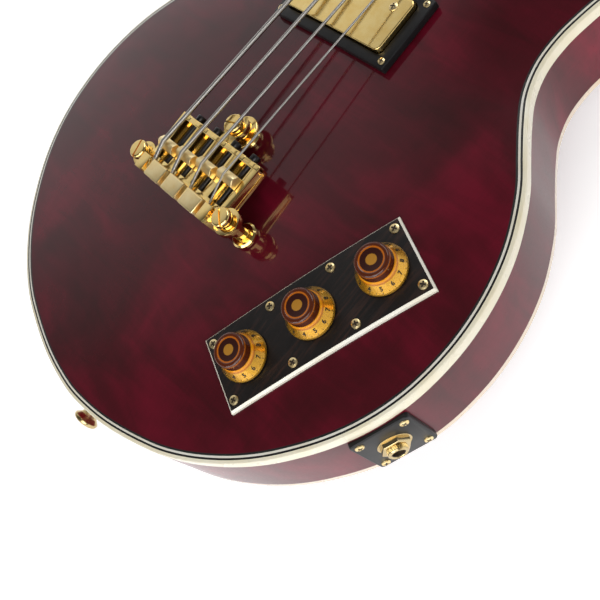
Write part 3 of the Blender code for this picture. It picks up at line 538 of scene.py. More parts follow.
def grow(name, growth, base, values, material, smooth=32.0, replaces=(), body=root):
    holder = inScene("holder", base)
    modifier = holder.modifiers.new("growth", "NODES")
    modifier.node_group = growth.group
    for label, value in values.items():
        modifier[growth.ids[label]] = value
    mesh = evaluated(holder)
    bpy.data.objects.remove(holder)
    return meshPiece(name, mesh, material, smooth, replaces, body)


def screwSet(name, spots, sizes):
    # sizes in mm: the head's radius and height, and the width of its recess
    values = {label: size * mm for label, size in zip(("Head radius", "Head height", "Slot width"), sizes)}
    grow(name, crossScrews, pointMesh(spots), values, paleGold)
    # the black cross set into each recess is painted shade
    grow(name + "Recess", crossRecess, pointMesh(spots), values, inkAndShadeBlack)


def pointMesh(spots):
    # loose points that carry the direction each instance faces
    mesh = bpy.data.meshes.new("spots")
    mesh.from_pydata([tuple(place) for place, _ in spots], [], [])
    facing = mesh.attributes.new("facing", "FLOAT_VECTOR", "POINT")
    for item, (_, axis) in zip(facing.data, spots):
        item.vector = tuple(axis)
    return mesh


def crossScrewTree(name, material, recessOnly=False):
    # a domed head with a cross recess at every point, spun by a seeded random angle; with recessOnly it is
    # only the cross that fills the recess, drawn in black as painted shade
    net = Growth(name, {"Head radius": 2.4 * mm, "Head height": 1.1 * mm, "Slot width": 0.8 * mm})
    start = Sock(net, net.start.outputs["Geometry"])
    radius, height, slotWide = net.size("Head radius"), net.size("Head height"), net.size("Slot width")
    rim = net.node("GeometryNodeMeshCone", None, {
        "Vertices": 28, "Radius Top": radius * 0.93, "Radius Bottom": radius, "Depth": height * 0.45})
    dome = net.node("GeometryNodeMeshCone", None, {
        "Vertices": 28, "Radius Top": radius * 0.55, "Radius Bottom": radius * 0.93, "Depth": height * 0.35})
    lifted = net.node("GeometryNodeTransform", None, {
        "Geometry": dome, "Translation": net.point({"Z": height * 0.45})})
    head = net.node("GeometryNodeMeshBoolean", {"operation": "UNION"}, {"Mesh 2": rim})
    net.group.links.new(lifted.socket, head.socket.node.inputs["Mesh 2"])
    bars = []
    trim = 0.98 if recessOnly else 1.0
    deep, middle = (0.42, 0.42) if recessOnly else (1.2, 0.95)
    long = radius * 1.25 * trim
    for x, y, share in ((long, slotWide * trim, 1.0), (slotWide * trim, long, 0.9)):
        cube = net.node("GeometryNodeMeshCube", None, {
            "Size": net.point({"X": x, "Y": y, "Z": height * deep * share})})
        bars.append(net.node("GeometryNodeTransform", None, {
            "Geometry": cube, "Translation": net.point({"Z": height * middle})}))
    if recessOnly:
        cross = net.node("GeometryNodeMeshBoolean", {"operation": "UNION"})
    else:
        cross = net.node("GeometryNodeMeshBoolean", {"operation": "DIFFERENCE"}, {"Mesh 1": head})
    for bar in bars:
        net.group.links.new(bar.socket, cross.socket.node.inputs["Mesh 2"])
    facing = net.node("GeometryNodeInputNamedAttribute", {"data_type": "FLOAT_VECTOR"}, {"Name": "facing"})
    aimed = net.node("FunctionNodeAlignRotationToVector", {"axis": "Z"}, {"Vector": facing})
    spin = net.node("FunctionNodeRandomValue", {"data_type": "FLOAT"}, {2: 0.0, 3: math.pi, "Seed": 7}, 1)
    twist = net.node("FunctionNodeAxisAngleToRotation", None, {"Axis": (0, 0, 1), "Angle": spin})
    turned = net.node("FunctionNodeRotateRotation", {"rotation_space": "LOCAL"}, {0: aimed, 1: twist})
    placed = net.node("GeometryNodeInstanceOnPoints", None, {
        "Points": start, "Instance": cross, "Rotation": turned})
    net.close(placed, material)
    return net


def helixTree(name, material, sides):
    # a wire wound round the Z axis
    net = Growth(name, {
        "Turns": 6.0, "Radius": 3 * mm, "End radius": 3 * mm, "Height": 6 * mm, "Wire": 0.3 * mm})
    spiral = net.node("GeometryNodeCurveSpiral", None, {
        "Resolution": 20, "Rotations": net.size("Turns"), "Start Radius": net.size("Radius"),
        "End Radius": net.size("End radius"), "Height": net.size("Height")})
    ring = net.node("GeometryNodeCurvePrimitiveCircle", None, {
        "Resolution": sides, "Radius": net.size("Wire")})
    wire = net.node("GeometryNodeCurveToMesh", None, {
        "Curve": spiral, "Profile Curve": ring, "Fill Caps": True})
    net.close(wire, material)
    return net


def helixPiece(name, growth, matrix, turns, sizes, material, body=root):
    # sizes in mm; a helix without an end radius keeps its radius
    values = {label: size * mm for label, size in {"End radius": sizes["Radius"], **sizes}.items()}
    values["Turns"] = turns
    piece = grow(name, growth, bpy.data.meshes.new("spots"), values, material, 60.0, body=body)
    piece.data.transform(matrix)


def fretTree(material):
    # a crown at each semitone: its distance from the nut follows the scale length
    net = Growth("frets", {"Scale": 775 * mm, "Crown": 1.15 * mm, "Nut width": 40 * mm, "Widening": 0.0282})
    line = net.node("GeometryNodeMeshLine", None, {"Count": 20})
    index = net.node("GeometryNodeInputIndex") + 1.0
    distance = net.size("Scale") * (1 - 2.0 ** (index * (-1.0 / 12)))
    spot = net.point({"Y": distance * -1.0})
    moved = net.node("GeometryNodeSetPosition", None, {"Geometry": line, "Position": spot})
    bar = net.node("GeometryNodeMeshCylinder", None, {
        "Vertices": 12, "Radius": net.size("Crown"), "Depth": 1.0})
    wide = net.size("Nut width") + distance * net.size("Widening")
    scale = net.point({"X": 1.0, "Y": 1.0, "Z": wide})
    placed = net.node("GeometryNodeInstanceOnPoints", None, {
        "Points": moved, "Instance": bar, "Rotation": (0, math.pi / 2, 0), "Scale": scale})
    net.close(placed, material)
    return net


def archTree(material):
    # lifts a flat sheet into the carved top, by each point's share of the way to the rim
    net = Growth("carvedArch", {"Rim": 46.8 * mm, "Rise": 11.8 * mm})
    start = Sock(net, net.start.outputs["Geometry"])
    share = net.node("GeometryNodeInputNamedAttribute", {"data_type": "FLOAT"}, {"Name": "share"})
    place = net.node("GeometryNodeInputPosition")
    x, y, z = (net.node("ShaderNodeSeparateXYZ", None, {"Vector": place}, axis) for axis in "XYZ")
    isTop = z > 0.5 * mm
    lifted = net.size("Rim") + net.size("Rise") * (1 - share * share)
    height = isTop * lifted + (1 - isTop) * (net.size("Rim") + z)
    spot = net.point({"X": x, "Y": y, "Z": height})
    moved = net.node("GeometryNodeSetPosition", None, {"Geometry": start, "Position": spot})
    net.close(moved, material)
    return net


crossScrews = crossScrewTree("crossScrews", paleGold)
# black cross fills for the screw recesses: painted shade
crossRecess = crossScrewTree("crossRecess", inkAndShadeBlack, True)
threads = helixTree("threads", gold, 6)
blackThreads = helixTree("blackThreads", blackSteel, 6)
stringTwist = helixTree("stringTwist", twistSteel, 8)
stringWinds = helixTree("stringWinds", brightSteel, 12)
fretRow = fretTree(brightSteel)
carvedArch = archTree(wine)

# body: its outline is the back binding's outer edge, made smooth

bodySize = {
    "rim": 46.8, "rise": 11.8, "ridgeEnd": (10.0, 82.2), "blendEnd": 157.2, "topDeep": 5.9, "skirtDeep": 1.0,
    "edgeRound": 0.8, "edgeSteps": 5, "creamWide": 1.8, "lineWide": 1.0, "lineDeep": 1.5, "seamWide": 9.0,
    "backDeep": 4.0, "rings": 30, "reach": 0.97, "perSegment": 6,
}


def outlineFrom(node):
    mesh = frame["nodes"][node].data
    links = {}
    for polygon in mesh.polygons:
        low = [mesh.vertices[i].co for i in polygon.vertices if abs(mesh.vertices[i].co.z) < 1e-5]
        if len(low) == 2:
            a, b = (tuple(round(c, 6) for c in point[:2]) for point in low)
            links.setdefault(a, []).append(b)
            links.setdefault(b, []).append(a)
    loops = []
    left = set(links)
    while left:
        loop = [max(left)]
        left.remove(loop[0])
        while True:
            following = [p for p in links[loop[-1]] if p in left]
            if not following:
                break
            loop.append(following[0])
            left.remove(following[0])
        loops.append([Vector((*p, 0)) for p in loop])
    loop = max(loops, key=lambda points: max(p.x for p in points))
    area = sum(a.x * b.y - b.x * a.y for a, b in zip(loop, loop[1:] + loop[:1]))
    return loop if area > 0 else loop[::-1]


def smoothed(loop, parts):
    count = len(loop)
    dense = []
    for i in range(count):
        p0, p1, p2, p3 = (loop[(i + k - 1) % count] for k in range(4))
        for step in range(parts):
            t = step / parts
            dense.append(0.5 * (2 * p1 + (p2 - p0) * t + (2 * p0 - 5 * p1 + 4 * p2 - p3) * t * t
                                + (3 * p1 - p0 - 3 * p2 + p3) * t ** 3))
    return dense


def inset(loop, distance):
    result = []
    for i, point in enumerate(loop):
        along = (loop[(i + 1) % len(loop)] - loop[i - 1]).normalized()
        result.append(point + Vector((-along.y, along.x, 0)) * distance * mm)
    return result


def ridgePoint(y):
    share = min(max(y / (bodySize["blendEnd"] * mm), 0.0), 1.0)
    share = share * share * (3 - 2 * share)
    return Vector([along * mm * share for along in bodySize["ridgeEnd"]] + [0])


outline = smoothed(outlineFrom("back_binding"), bodySize["perSegment"])


def archHeight(edge, point):
    centre = ridgePoint(edge.y)
    share = (point - centre).length / (edge - centre).length
    return (bodySize["rim"] + bodySize["rise"] * (1 - share * share)) * mm


def ringPiece(name, profile, material, replaces=()):
    # closed band round the body; a point without a height lies on the arch
    bm = bmesh.new()
    rows = []
    for distance, height in profile:
        loop = inset(outline, distance)
        if height is None:
            rows.append([bm.verts.new((p.x, p.y, archHeight(e, p))) for e, p in zip(outline, loop)])
        else:
            rows.append(ringAt(bm, loop, height))
    skinInto(bm, rows + rows[:1], False)
    newPiece(name, bm, material, 40.0, replaces)


def cornerArc(height, outwards):
    # the binding's rounded edge, from its side to its flat
    radius = bodySize["edgeRound"]
    points = []
    for step in range(bodySize["edgeSteps"] + 1):
        angle = math.pi / 2 * step / bodySize["edgeSteps"]
        lift = outwards * radius * (math.sin(angle) - 1)
        points.append((radius * (1 - math.cos(angle)), height + lift))
    return points


def makeTop():
    size = bodySize
    shoulder = inset(outline, size["creamWide"] + 3 * size["lineWide"])
    bm = bmesh.new()
    shareLayer = bm.verts.layers.float.new("share")
    rows = [ringAt(bm, shoulder, -deep) for deep in (size["topDeep"], size["skirtDeep"])]
    for ring in range(size["rings"] + 1):
        part = 1 - size["reach"] * ring / size["rings"]
        row = []
        for edge, point in zip(outline, shoulder):
            centre = ridgePoint(edge.y)
            spot = centre + (point - centre) * part
            vertex = bm.verts.new((spot.x, spot.y, 1 * mm))
            vertex[shareLayer] = part * (point - centre).length / (edge - centre).length
            row.append(vertex)
        rows.append(row)
    skinInto(bm, rows)
    bmesh.ops.recalc_face_normals(bm, faces=bm.faces)
    sizes = {"Rim": size["rim"] * mm, "Rise": size["rise"] * mm}
    return grow("topBoardCarved", carvedArch, plainMesh("topSheet", bm), sizes, wine, 50.0,
                ("top_board",))


top = makeTop()
topTree = BVHTree.FromObject(top, bpy.context.evaluated_depsgraph_get())


def surfaceAt(x, y):
    spot, normal = topTree.ray_cast(Vector((x, y, 1)), -up)[:2]
    return spot, normal


def makeSides():
    size = bodySize
    inner, rim, back, wide = (size[key] for key in ("creamWide", "rim", "backDeep", "lineWide"))
    seam = rim - size["topDeep"]
    bm = bmesh.new()
    shell = ((inner, 0.0), (inner, back), (0.0, back), (0.0, seam), (size["seamWide"], seam))
    skinInto(bm, [ringAt(bm, inset(outline, distance), height) for distance, height in shell])
    newPiece("bodySidesAndBack", bm, wineSide, 40.0, ("body_core",))
    band = [(inner, seam), (0.0, seam), *cornerArc(rim, 1), (inner, None)]
    ringPiece("topBindingCream", band, cream, ("top_binding",))
    low = rim - size["lineDeep"]
    for number, paint in enumerate((lineBlack, lineWhite, lineBlack)):
        start = inner + number * wide
        line = [(start, low), (start, None), (start + wide, None), (start + wide, low)]
        stands = ("top_purfling",) if number == 0 else ()
        ringPiece(f"purflingLine{number + 1}", line, paint, stands)
    band = [(inner, back), (inner, 0.0), *cornerArc(0.0, -1)[::-1], (0.0, back)]
    ringPiece("backBindingCream", band, creamBack, ("back_binding",))


makeSides()
print("body made:", len(outline), "outline points")


# control plate, bent along the arch, with its cream bevel

plateSize = {
    "centre": (100.9, -56.2), "turn": math.radians(-23.3), "half": (20.6, 56.0), "thick": 2.6, "bevel": 0.9,
    "edgeHigh": 1.5, "step": 0.05, "faceDeep": (0.3, 0.1), "faceBevel": 0.12, "cells": (16, 48),
    "screwAlong": (17.25, 51.75), "screwAcross": 15.7, "screwLift": 0.1, "screw": (2.45, 1.0, 0.9),
}
plateWood = darkWood("plateRosewood", plateSize["turn"])
boardWood = darkWood("boardRosewood")


def platePoint(u, v, lift):
    turn = plateSize["turn"]
    x = (plateSize["centre"][0] + u * math.cos(turn) - v * math.sin(turn)) * mm
    y = (plateSize["centre"][1] + u * math.sin(turn) + v * math.cos(turn)) * mm
    spot, normal = surfaceAt(x, y)
    return spot + up * lift * mm, normal


def bentSheet(name, half, insetTop, heights, material, replaces=()):
    # grid on top, one ring for the bevel and one for the wall, all bent with the arch
    bm = bmesh.new()
    low, mid, high = heights
    across, along = plateSize["cells"]

    def grid(shrink, lift):
        halfU, halfV = (side - shrink for side in half)
        return [[bm.verts.new(platePoint(halfU * (2 * i / across - 1), halfV * (2 * j / along - 1), lift)[0])
                 for i in range(across + 1)] for j in range(along + 1)]

    def rim(rows):
        return rows[0][:-1] + [r[-1] for r in rows[:-1]] + rows[-1][:0:-1] + [r[0] for r in rows[:0:-1]]

    upper = grid(insetTop, high)
    lower = grid(0.0, low)
    for rows in (upper, lower):
        for j in range(along):
            for i in range(across):
                bm.faces.new((rows[j][i], rows[j][i + 1], rows[j + 1][i + 1], rows[j + 1][i]))
    middle = [bm.verts.new(v.co + up * (mid - low) * mm) for v in rim(lower)]
    skinInto(bm, [rim(upper), middle, rim(lower)], False)
    newPiece(name, bm, material, 25.0, replaces)


def makePlate():
    size = plateSize
    thick, bevel = size["thick"], size["bevel"]
    heights = (size["step"], size["edgeHigh"], thick - size["step"])
    bentSheet("controlPlateEdge", size["half"], bevel, heights, plateCream)
    face = [side - bevel for side in size["half"]]
    heights = (*(thick - deep for deep in size["faceDeep"]), thick)
    bentSheet("controlPlateFace", face, size["faceBevel"], heights, plateWood, ("control_plate",))
    spots = [platePoint(across * size["screwAcross"], along * reach, thick + size["screwLift"])
             for along in (-1, 1) for across in (-1, 1) for reach in size["screwAlong"]]
    screwSet("controlPlateScrews", spots, size["screw"])


makePlate()
print("control plate made")


# knobs: turned amber top hats with numbers on the skirt

knobSize = {
    "profile": (
        (0, 13.75), (6.2, 13.75), (6.6, 14.0), (7.7, 14.0), (8.5, 13.3), (8.8, 8.3), (9.3, 7.2), (12.6, 2.2),
        (12.85, 0.9), (12.2, 0.7), (8.2, 6.6), (5.4, 6.6), (5.4, 3.2), (3.1, 3.2), (3.1, 10.8), (0, 10.8)),
    "sevenAt": math.radians(46.5), "step": math.radians(30), "digit": 3.3, "digitAt": (11.1, 4.7),
    "digitBold": 0.06, "digitThick": 0.03, "digitLift": 0.04, "slope": (3.3, -5.0), "markFrom": 1.9,
    "markTo": 2.6, "markShorter": 0.2, "markHalf": 0.11, "markLifts": (0.01, 0.06), "steps": 96,
    "spin": {1: -18, 2: -9, 3: -28},
}


def onSkirt(angle, outwards, sideways, lift):
    # a place on the sloping skirt, in the knob's own axes and mm
    radius, height = knobSize["digitAt"]
    slope = Vector(knobSize["slope"]).normalized()
    out = Vector((slope.x, slope.y)) * outwards
    away = Vector((-slope.y, slope.x)) * lift
    radius += out.x + away.x
    height += out.y + away.y
    turn = angle + sideways / radius
    return Vector((radius * math.cos(turn), radius * math.sin(turn), height)) * mm


def knobMarks(matrix, spin):
    size = knobSize
    bm = bmesh.new()
    for number in range(11):
        text = bpy.data.curves.new("digit", "FONT")
        text.body = str(number)
        text.size = size["digit"]
        text.align_x = "CENTER"
        text.align_y = "CENTER"
        text.resolution_u = 3
        text.extrude = size["digitThick"]
        text.offset = size["digitBold"]
        holder = inScene("digit", text)
        mesh = evaluated(holder)
        bpy.data.objects.remove(holder)
        angle = spin + size["sevenAt"] + (number - 7) * size["step"]
        for vertex in mesh.vertices:
            x, y, z = vertex.co
            vertex.co = matrix @ onSkirt(angle, -y, x, z + size["digitLift"])
        bm.from_mesh(mesh)
    near, half = size["markFrom"], size["markHalf"]
    for number in range(21):
        angle = spin + size["sevenAt"] + (number / 2 - 7) * size["step"]
        far = size["markTo"] - number % 2 * size["markShorter"]
        corners = [onSkirt(angle, out, side, lift) for lift in size["markLifts"]
                   for out, side in ((near, -half), (far, -half), (far, half), (near, half))]
        verts = [bm.verts.new(matrix @ corner) for corner in corners]
        for face in ((0, 1, 2, 3), (4, 7, 6, 5), (0, 4, 5, 1), (1, 5, 6, 2), (2, 6, 7, 3), (3, 7, 4, 0)):
            bm.faces.new([verts[i] for i in face])
    bmesh.ops.remove_doubles(bm, verts=bm.verts, dist=1e-7)
    return bm


def knobMatrix(joint):
    # the knob's Z on its joint's axis, with world X turned onto the knob's X
    axis = Vector(joint["axis"]).normalized()
    across = (Vector((1, 0, 0)) - axis * axis.x).normalized()
    turn = Matrix((across, axis.cross(across), axis)).transposed().to_4x4()
    return Matrix.Translation(joint["pos_m"]) @ turn


def makeKnobs():
    for number, spin in knobSize["spin"].items():
        joint = joints[f"knob_{number}_turn"]
        matrix = knobMatrix(joint)
        skin = lathed(rounded(knobSize["profile"], 0.35), knobSize["steps"], matrix)
        newPiece(f"knobTopHat{number}", skin, amberKnob(f"amberKnob{number}", joint), 28.0,
                 (f"knob_{number}",), joint["child"])
        marks = knobMarks(matrix, math.radians(spin))
        newPiece(f"knobNumbers{number}", marks, inkAndShadeBlack, body=joint["child"])


makeKnobs()
print("knobs made")


# strings, round and smooth, with a wound finish whose grooves carry painted shade, and twisted ends behind
# the saddles

stringSize = {
    "radius": {"e": 1.3, "a": 1.05, "d": 0.8, "g": 0.58},
    "wrap": {"e": 0.62, "a": 0.54, "d": 0.46, "g": 0.38},
    "sides": 16, "ringGap": 1.6, "twistTurns": 3.4, "twistShares": (0.62, 0.45, 0.60), "twistLong": 0.86,
}


def stringPath(name):
    # the centre of each ring of the CAD string, from its tail to its post
    bm = mergedCopy(f"string_{name}", False)
    clusters = []
    for vertex in sorted(bm.verts, key=lambda v: v.co.y):
        if clusters and (vertex.co.y - clusters[-1][-1].y) < stringSize["ringGap"] * mm:
            clusters[-1].append(vertex.co.copy())
        else:
            clusters.append([vertex.co.copy()])
    bm.free()
    return [sum(cluster, Vector()) / len(cluster) for cluster in clusters]


def tube(path, radius, sides):
    bm = bmesh.new()
    rows = []
    for index, point in enumerate(path):
        ahead = path[min(index + 1, len(path) - 1)] - path[max(index - 1, 0)]
        turn = ahead.to_track_quat("Z", "Y").to_matrix()
        rows.append([bm.verts.new(point + turn @ Vector((math.cos(a), math.sin(a), 0)) * radius * mm)
                     for a in (2 * math.pi * i / sides for i in range(sides))])
    skinInto(bm, rows)
    return bm


def makeStrings():
    size = stringSize
    for name in stringNames:
        path = stringPath(name)
        radius = size["radius"][name]
        skin = tube(path, radius, size["sides"])
        steel = woundSteel(f"woundSteel{name.upper()}", size["wrap"][name] * mm)
        newPiece(f"stringWound{name.upper()}", skin, steel, 40.0, (f"string_{name}",))
        reach = path[1] - path[0]
        first, last, wire = (radius * share for share in size["twistShares"])
        twist = {"Radius": first, "End radius": last, "Wire": wire,
                 "Height": reach.length * size["twistLong"] / mm}
        for half in (0, 1):
            spun = standing(path[0], reach, math.pi * half)
            helixPiece(f"stringTwist{name.upper()}{half + 1}", stringTwist, spun, size["twistTurns"], twist,
                       twistSteel)


makeStrings()
print("strings made")


# bridge: the CAD frame with rounded edges and a recessed panel in each side

bridgeSize = {
    "panel": ((-41.5, 69.7), (-19.0, 73.6)), "panelDeep": 0.7, "side": 35.2, "saddleShare": 0.86,
    "blocks": ((-23.6, -9.9), (-6.75, 6.75), (9.9, 23.6)), "blockY": (-55.9, -46.6), "blockZ": (70.2, 81.0),
    "noses": ((-35.2, -27.0), (-22.8, -10.6), (-6.2, 6.2), (10.6, 22.8), (27.0, 35.2)),
    "noseY": (-20.4, -17.0), "noseZ": (70.6, 75.0), "floorHalf": 6.0, "floorY": (-46.5, -20.0),
    "floorZ": (0.3, 1.3),
    "screw": ((0, 1.2), (1.2, 1.2), (1.2, 3.6), (2.2, 3.6), (2.6, 3.2), (2.6, 0.3), (1.6, 0.3),
              (1.6, -28.6), (0, -28.6)),
    "thread": {"Radius": 1.62, "Height": 26.6, "Wire": 0.2}, "threadTurns": 38.0, "threadFrom": -28.2,
}


def boxRow(name, across, y, z, material, round, segments=4):
    bm = bmesh.new()
    for x0, x1 in across:
        boxInto(bm, (x0, y[0], z[0]), (x1, y[1], z[1]), round=round, segments=segments)
    newPiece(name, bm, material, 40.0)


def makeBridge():
    size = bridgeSize
    tools = []
    for side in (-1, 1):
        (y0, z0), (y1, z1) = size["panel"]
        x0, x1 = sorted((side * (size["side"] - size["panelDeep"]), side * (size["side"] + 2)))
        tools.append(boxTool("panel", (x0, y0, z0), (x1, y1, z1)))
    softened("bridgeFrameSoft", "bridge_frame", gold, segments=2, cuts=tools)
    boxRow("bridgeTailBlocks", size["blocks"], size["blockY"], size["blockZ"], paleGold, 0.9)
    boxRow("bridgeNoses", size["noses"], size["noseY"], size["noseZ"], gold, 1.0)
    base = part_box("bridge_frame")[0].z / mm
    middles = [joints[f"intonation_{name}_turn"]["pos_m"][0] / mm for name in stringNames]
    across = [(x - size["floorHalf"], x + size["floorHalf"]) for x in middles]
    floor = [base + lift for lift in size["floorZ"]]
    boxRow("bridgeChannelFloors", across, size["floorY"], floor, gold, 0.2, 2)
    for name in stringNames:
        node = f"saddle_{name}"
        body = joints[node + "_slide"]["child"]
        saddle = softened(f"saddleSoft{name.upper()}", node, paleGold, 0.45, body=body)
        low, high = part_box(node)
        middle = Matrix.Translation(((low.x + high.x) / 2, 0, 0))
        saddle.data.transform(middle @ Matrix.Diagonal((size["saddleShare"], 1, 1, 1)) @ middle.inverted())
        joint = joints[f"intonation_{name}_turn"]
        matrix = standing(joint["pos_m"], (0, 1, 0))
        skin = lathed(rounded(size["screw"], 0.2), 24, matrix)
        newPiece(f"intonationScrew{name.upper()}", skin, blackSteel, 30.0,
                 (f"intonation_screw_{name}",), joint["child"])
        place = matrix @ Matrix.Translation((0, 0, size["threadFrom"] * mm))
        helixPiece(f"intonationThread{name.upper()}", blackThreads, place, size["threadTurns"],
                   size["thread"], blackSteel, joint["child"])


studSize = {
    "x": 39.8, "y": -48.0, "frontY": -7.8, "slot": 1.0, "slotDeep": 1.7, "slotHalf": 9, "slotTop": 95,
    "slotTurn": {"bass": 1.815, "treble": 2.478, "front": 0.3},
    "rear": ((0, 80.7), (4.6, 80.7), (5.3, 80.0), (5.3, 77.4), (3.6, 77.0), (3.6, 71.2), (4.3, 70.9),
             (4.3, 69.4), (3.8, 69.0), (3.8, 61.0), (3.1, 60.4), (3.1, 48.0), (0, 48.0)),
    "front": ((0, 75.6), (4.7, 75.6), (5.4, 74.9), (5.4, 72.2), (3.6, 71.9), (3.6, 68.4), (5.2, 68.0),
              (5.2, 66.6), (9.0, 66.4), (9.4, 66.0), (9.4, 64.8), (9.0, 64.4), (3.8, 64.2), (3.1, 61.6),
              (3.1, 48.0), (0, 48.0)),
    "flange": ((3.35, 2.4), (6.0, 2.4), (6.9, 1.5), (6.9, 0), (5.0, -0.5)), "flangeHigh": 2.4,
    "sleeve": ((5.0, 46.0), (3.35, 46.0)), "threadTop": 60.2, "threadSunk": 0.4, "pitch": 0.8,
    "threadRadius": 3.1, "threadWire": 0.28,
}


def makeStuds():
    size = studSize
    rear = size["y"]
    spots = {"bass": (-size["x"], rear), "treble": (size["x"], rear), "front": (0.0, size["frontY"])}
    half = size["slot"] / 2
    for name, (x, y) in spots.items():
        profile = size["front" if name == "front" else "rear"]
        matrix = Matrix.Translation((x * mm, y * mm, 0))
        bm = lathed(rounded(profile, 0.3), 48, matrix)
        bmesh.ops.recalc_face_normals(bm, faces=bm.faces)
        low = profile[0][1] - size["slotDeep"]
        turned = matrix @ Matrix.Rotation(size["slotTurn"][name], 4, "Z")
        reach = size["slotHalf"]
        slot = boxTool("slot", (-reach, -half, low), (reach, half, size["slotTop"]), turned)
        mesh = cutWith(plainMesh("stud", bm), [slot])
        meshPiece(f"studSlotted{name.capitalize()}", mesh, gold, 30.0, (f"stud_{name}",))
        node = f"stud_insert_{name}"
        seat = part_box(node)[1].z / mm - size["flangeHigh"]
        flange = [(radius, seat + lift) for radius, lift in size["flange"]]
        skin = lathed([*flange, *size["sleeve"]], 64, matrix)
        newPiece(f"studInsert{name.capitalize()}", skin, gold, 30.0, (node,))
        base = seat + size["flangeHigh"] - size["threadSunk"]
        room = size["threadTop"] - base
        thread = {"Radius": size["threadRadius"], "Height": room, "Wire": size["threadWire"]}
        place = Matrix.Translation((x * mm, y * mm, base * mm))
        helixPiece(f"studThread{name.capitalize()}", threads, place, max(room / size["pitch"], 1.0), thread,
                   gold)


makeBridge()
makeStuds()
print("bridge made")


# output jack and strap buttons

jackSize = {
    "centre": (154.5, -76.3, 21.9), "axis": (0.918446, -0.395545, 0.0), "plate": (15.5, 17.75), "thick": 2.6,
    "corner": 2.4, "bevel": 0.7, "screwAt": (11.6, 13.6), "screwLift": 0.1, "screw": (2.3, 1.0, 0.8),
    "bush": ((3.3, 7.9), (3.6, 8.2), (4.4, 8.2), (5.0, 7.6), (5.0, -3.0), (6.5, -3.0), (6.5, -17.0),
             (3.3, -17.0)),
    "nut": 7.6, "nutHigh": (2.9, 5.7), "nutRound": 0.5,
    "washer": ((5.1, 2.95), (8.2, 2.95), (8.4, 2.8), (8.4, 2.6), (5.1, 2.6)),
    "shadeLiner": ((3.05, 7.5), (3.3, 7.7), (3.3, 0.5), (0, 0.5), (0, 1.0), (3.05, 1.0)),
    "thread": {"Radius": 5.0, "Height": 2.1, "Wire": 0.25}, "threadTurns": 3.5, "threadFrom": 5.3,
}


def jackMatrix():
    axis = Vector(jackSize["axis"]).normalized()
    along = Vector((-axis.y, axis.x, 0))
    turn = Matrix((along, axis.cross(along), axis)).transposed().to_4x4()
    return Matrix.Translation(Vector(jackSize["centre"]) * mm) @ turn


def makeJack():
    size = jackSize
    matrix = jackMatrix()
    bm = bmesh.new()
    plate = roundedBox(*size["plate"], size["corner"])
    prismInto(bm, plate, 0.0, size["thick"], matrix, size["bevel"])
    newPiece("jackPlateBevelled", bm, blackPlastic, 30.0, ("jack_plate",))
    newPiece("jackBush", lathed(size["bush"], 64, matrix), agedGold, 30.0, ("jack_socket",))
    bm = bmesh.new()
    angles = [math.radians(60 * i) for i in range(6)]
    hexagon = [(size["nut"] * math.cos(a), size["nut"] * math.sin(a)) for a in angles]
    prismInto(bm, hexagon, *size["nutHigh"], matrix, size["nutRound"])
    newPiece("jackNut", bm, agedGold)
    newPiece("jackWasher", lathed(size["washer"], 64, matrix), agedGold)
    # black lining inside the bush's bore: painted shade deep in the socket
    newPiece("jackShadeLining", lathed(size["shadeLiner"], 48, matrix), inkAndShadeBlack)
    place = matrix @ Matrix.Translation((0, 0, size["threadFrom"] * mm))
    helixPiece("jackThread", threads, place, size["threadTurns"], size["thread"], gold)
    acrossPlate, alongPlate = size["screwAt"]
    lift = size["thick"] + size["screwLift"]
    spots = [(matrix @ (Vector((x * acrossPlate, y * alongPlate, lift)) * mm), size["axis"])
             for x in (-1, 1) for y in (-1, 1)]
    screwSet("jackPlateScrews", spots, size["screw"])


buttonSize = {
    "profile": (
        (0, 11.6), (1.8, 11.6), (2.2, 12.1), (5.2, 12.1), (6.6, 11.5), (7.3, 10.3), (7.2, 9.3), (4.9, 7.2),
        (3.9, 4.6), (4.6, 2.0), (7.0, 0.9), (7.0, 0.3), (0, 0.3)),
    "places": {"tail": ((0, -0.1731, 0.0234), (0, -1, 0)),
               "shoulder": ((-0.0584, 0.2505, 0.0234), (-0.360994, 0.932568, 0))},
}


def makeButtons():
    for name, (place, axis) in buttonSize["places"].items():
        skin = lathed(rounded(buttonSize["profile"], 0.4), 64, standing(place, axis))
        newPiece("strapButton" + name.capitalize(), skin, agedGold, 30.0,
                 (f"strap_button_{name}",))


makeJack()
makeButtons()
print("jack and strap buttons made")


# neck, board, head, tuners and pickups

neckSize = {
    "nutY": 745.2, "boardZ": 31.0, "angle": math.radians(-3.405), "headAngle": math.radians(-11),
    "head": (0, 5.6, -4.0), "fretSunk": 0.75, "inlays": (3, 5, 7, 9, 12, 15, 17, 19), "inlayHalf": 12.5,
    "inlayLong": 9.0, "inlayShare": 0.3, "inlayCorner": 0.8, "inlayHigh": (-0.9, 0.03),
}
fretSize = {"Scale": 775, "Crown": 1.15, "Nut width": 40.6}
nutPlace = Matrix.Translation((0, neckSize["nutY"] * mm, neckSize["boardZ"] * mm))
neckMatrix = nutPlace @ Matrix.Rotation(neckSize["angle"], 4, "X")
headPlace = neckMatrix @ Matrix.Translation(Vector(neckSize["head"]) * mm)
headMatrix = headPlace @ Matrix.Rotation(neckSize["headAngle"], 4, "X")


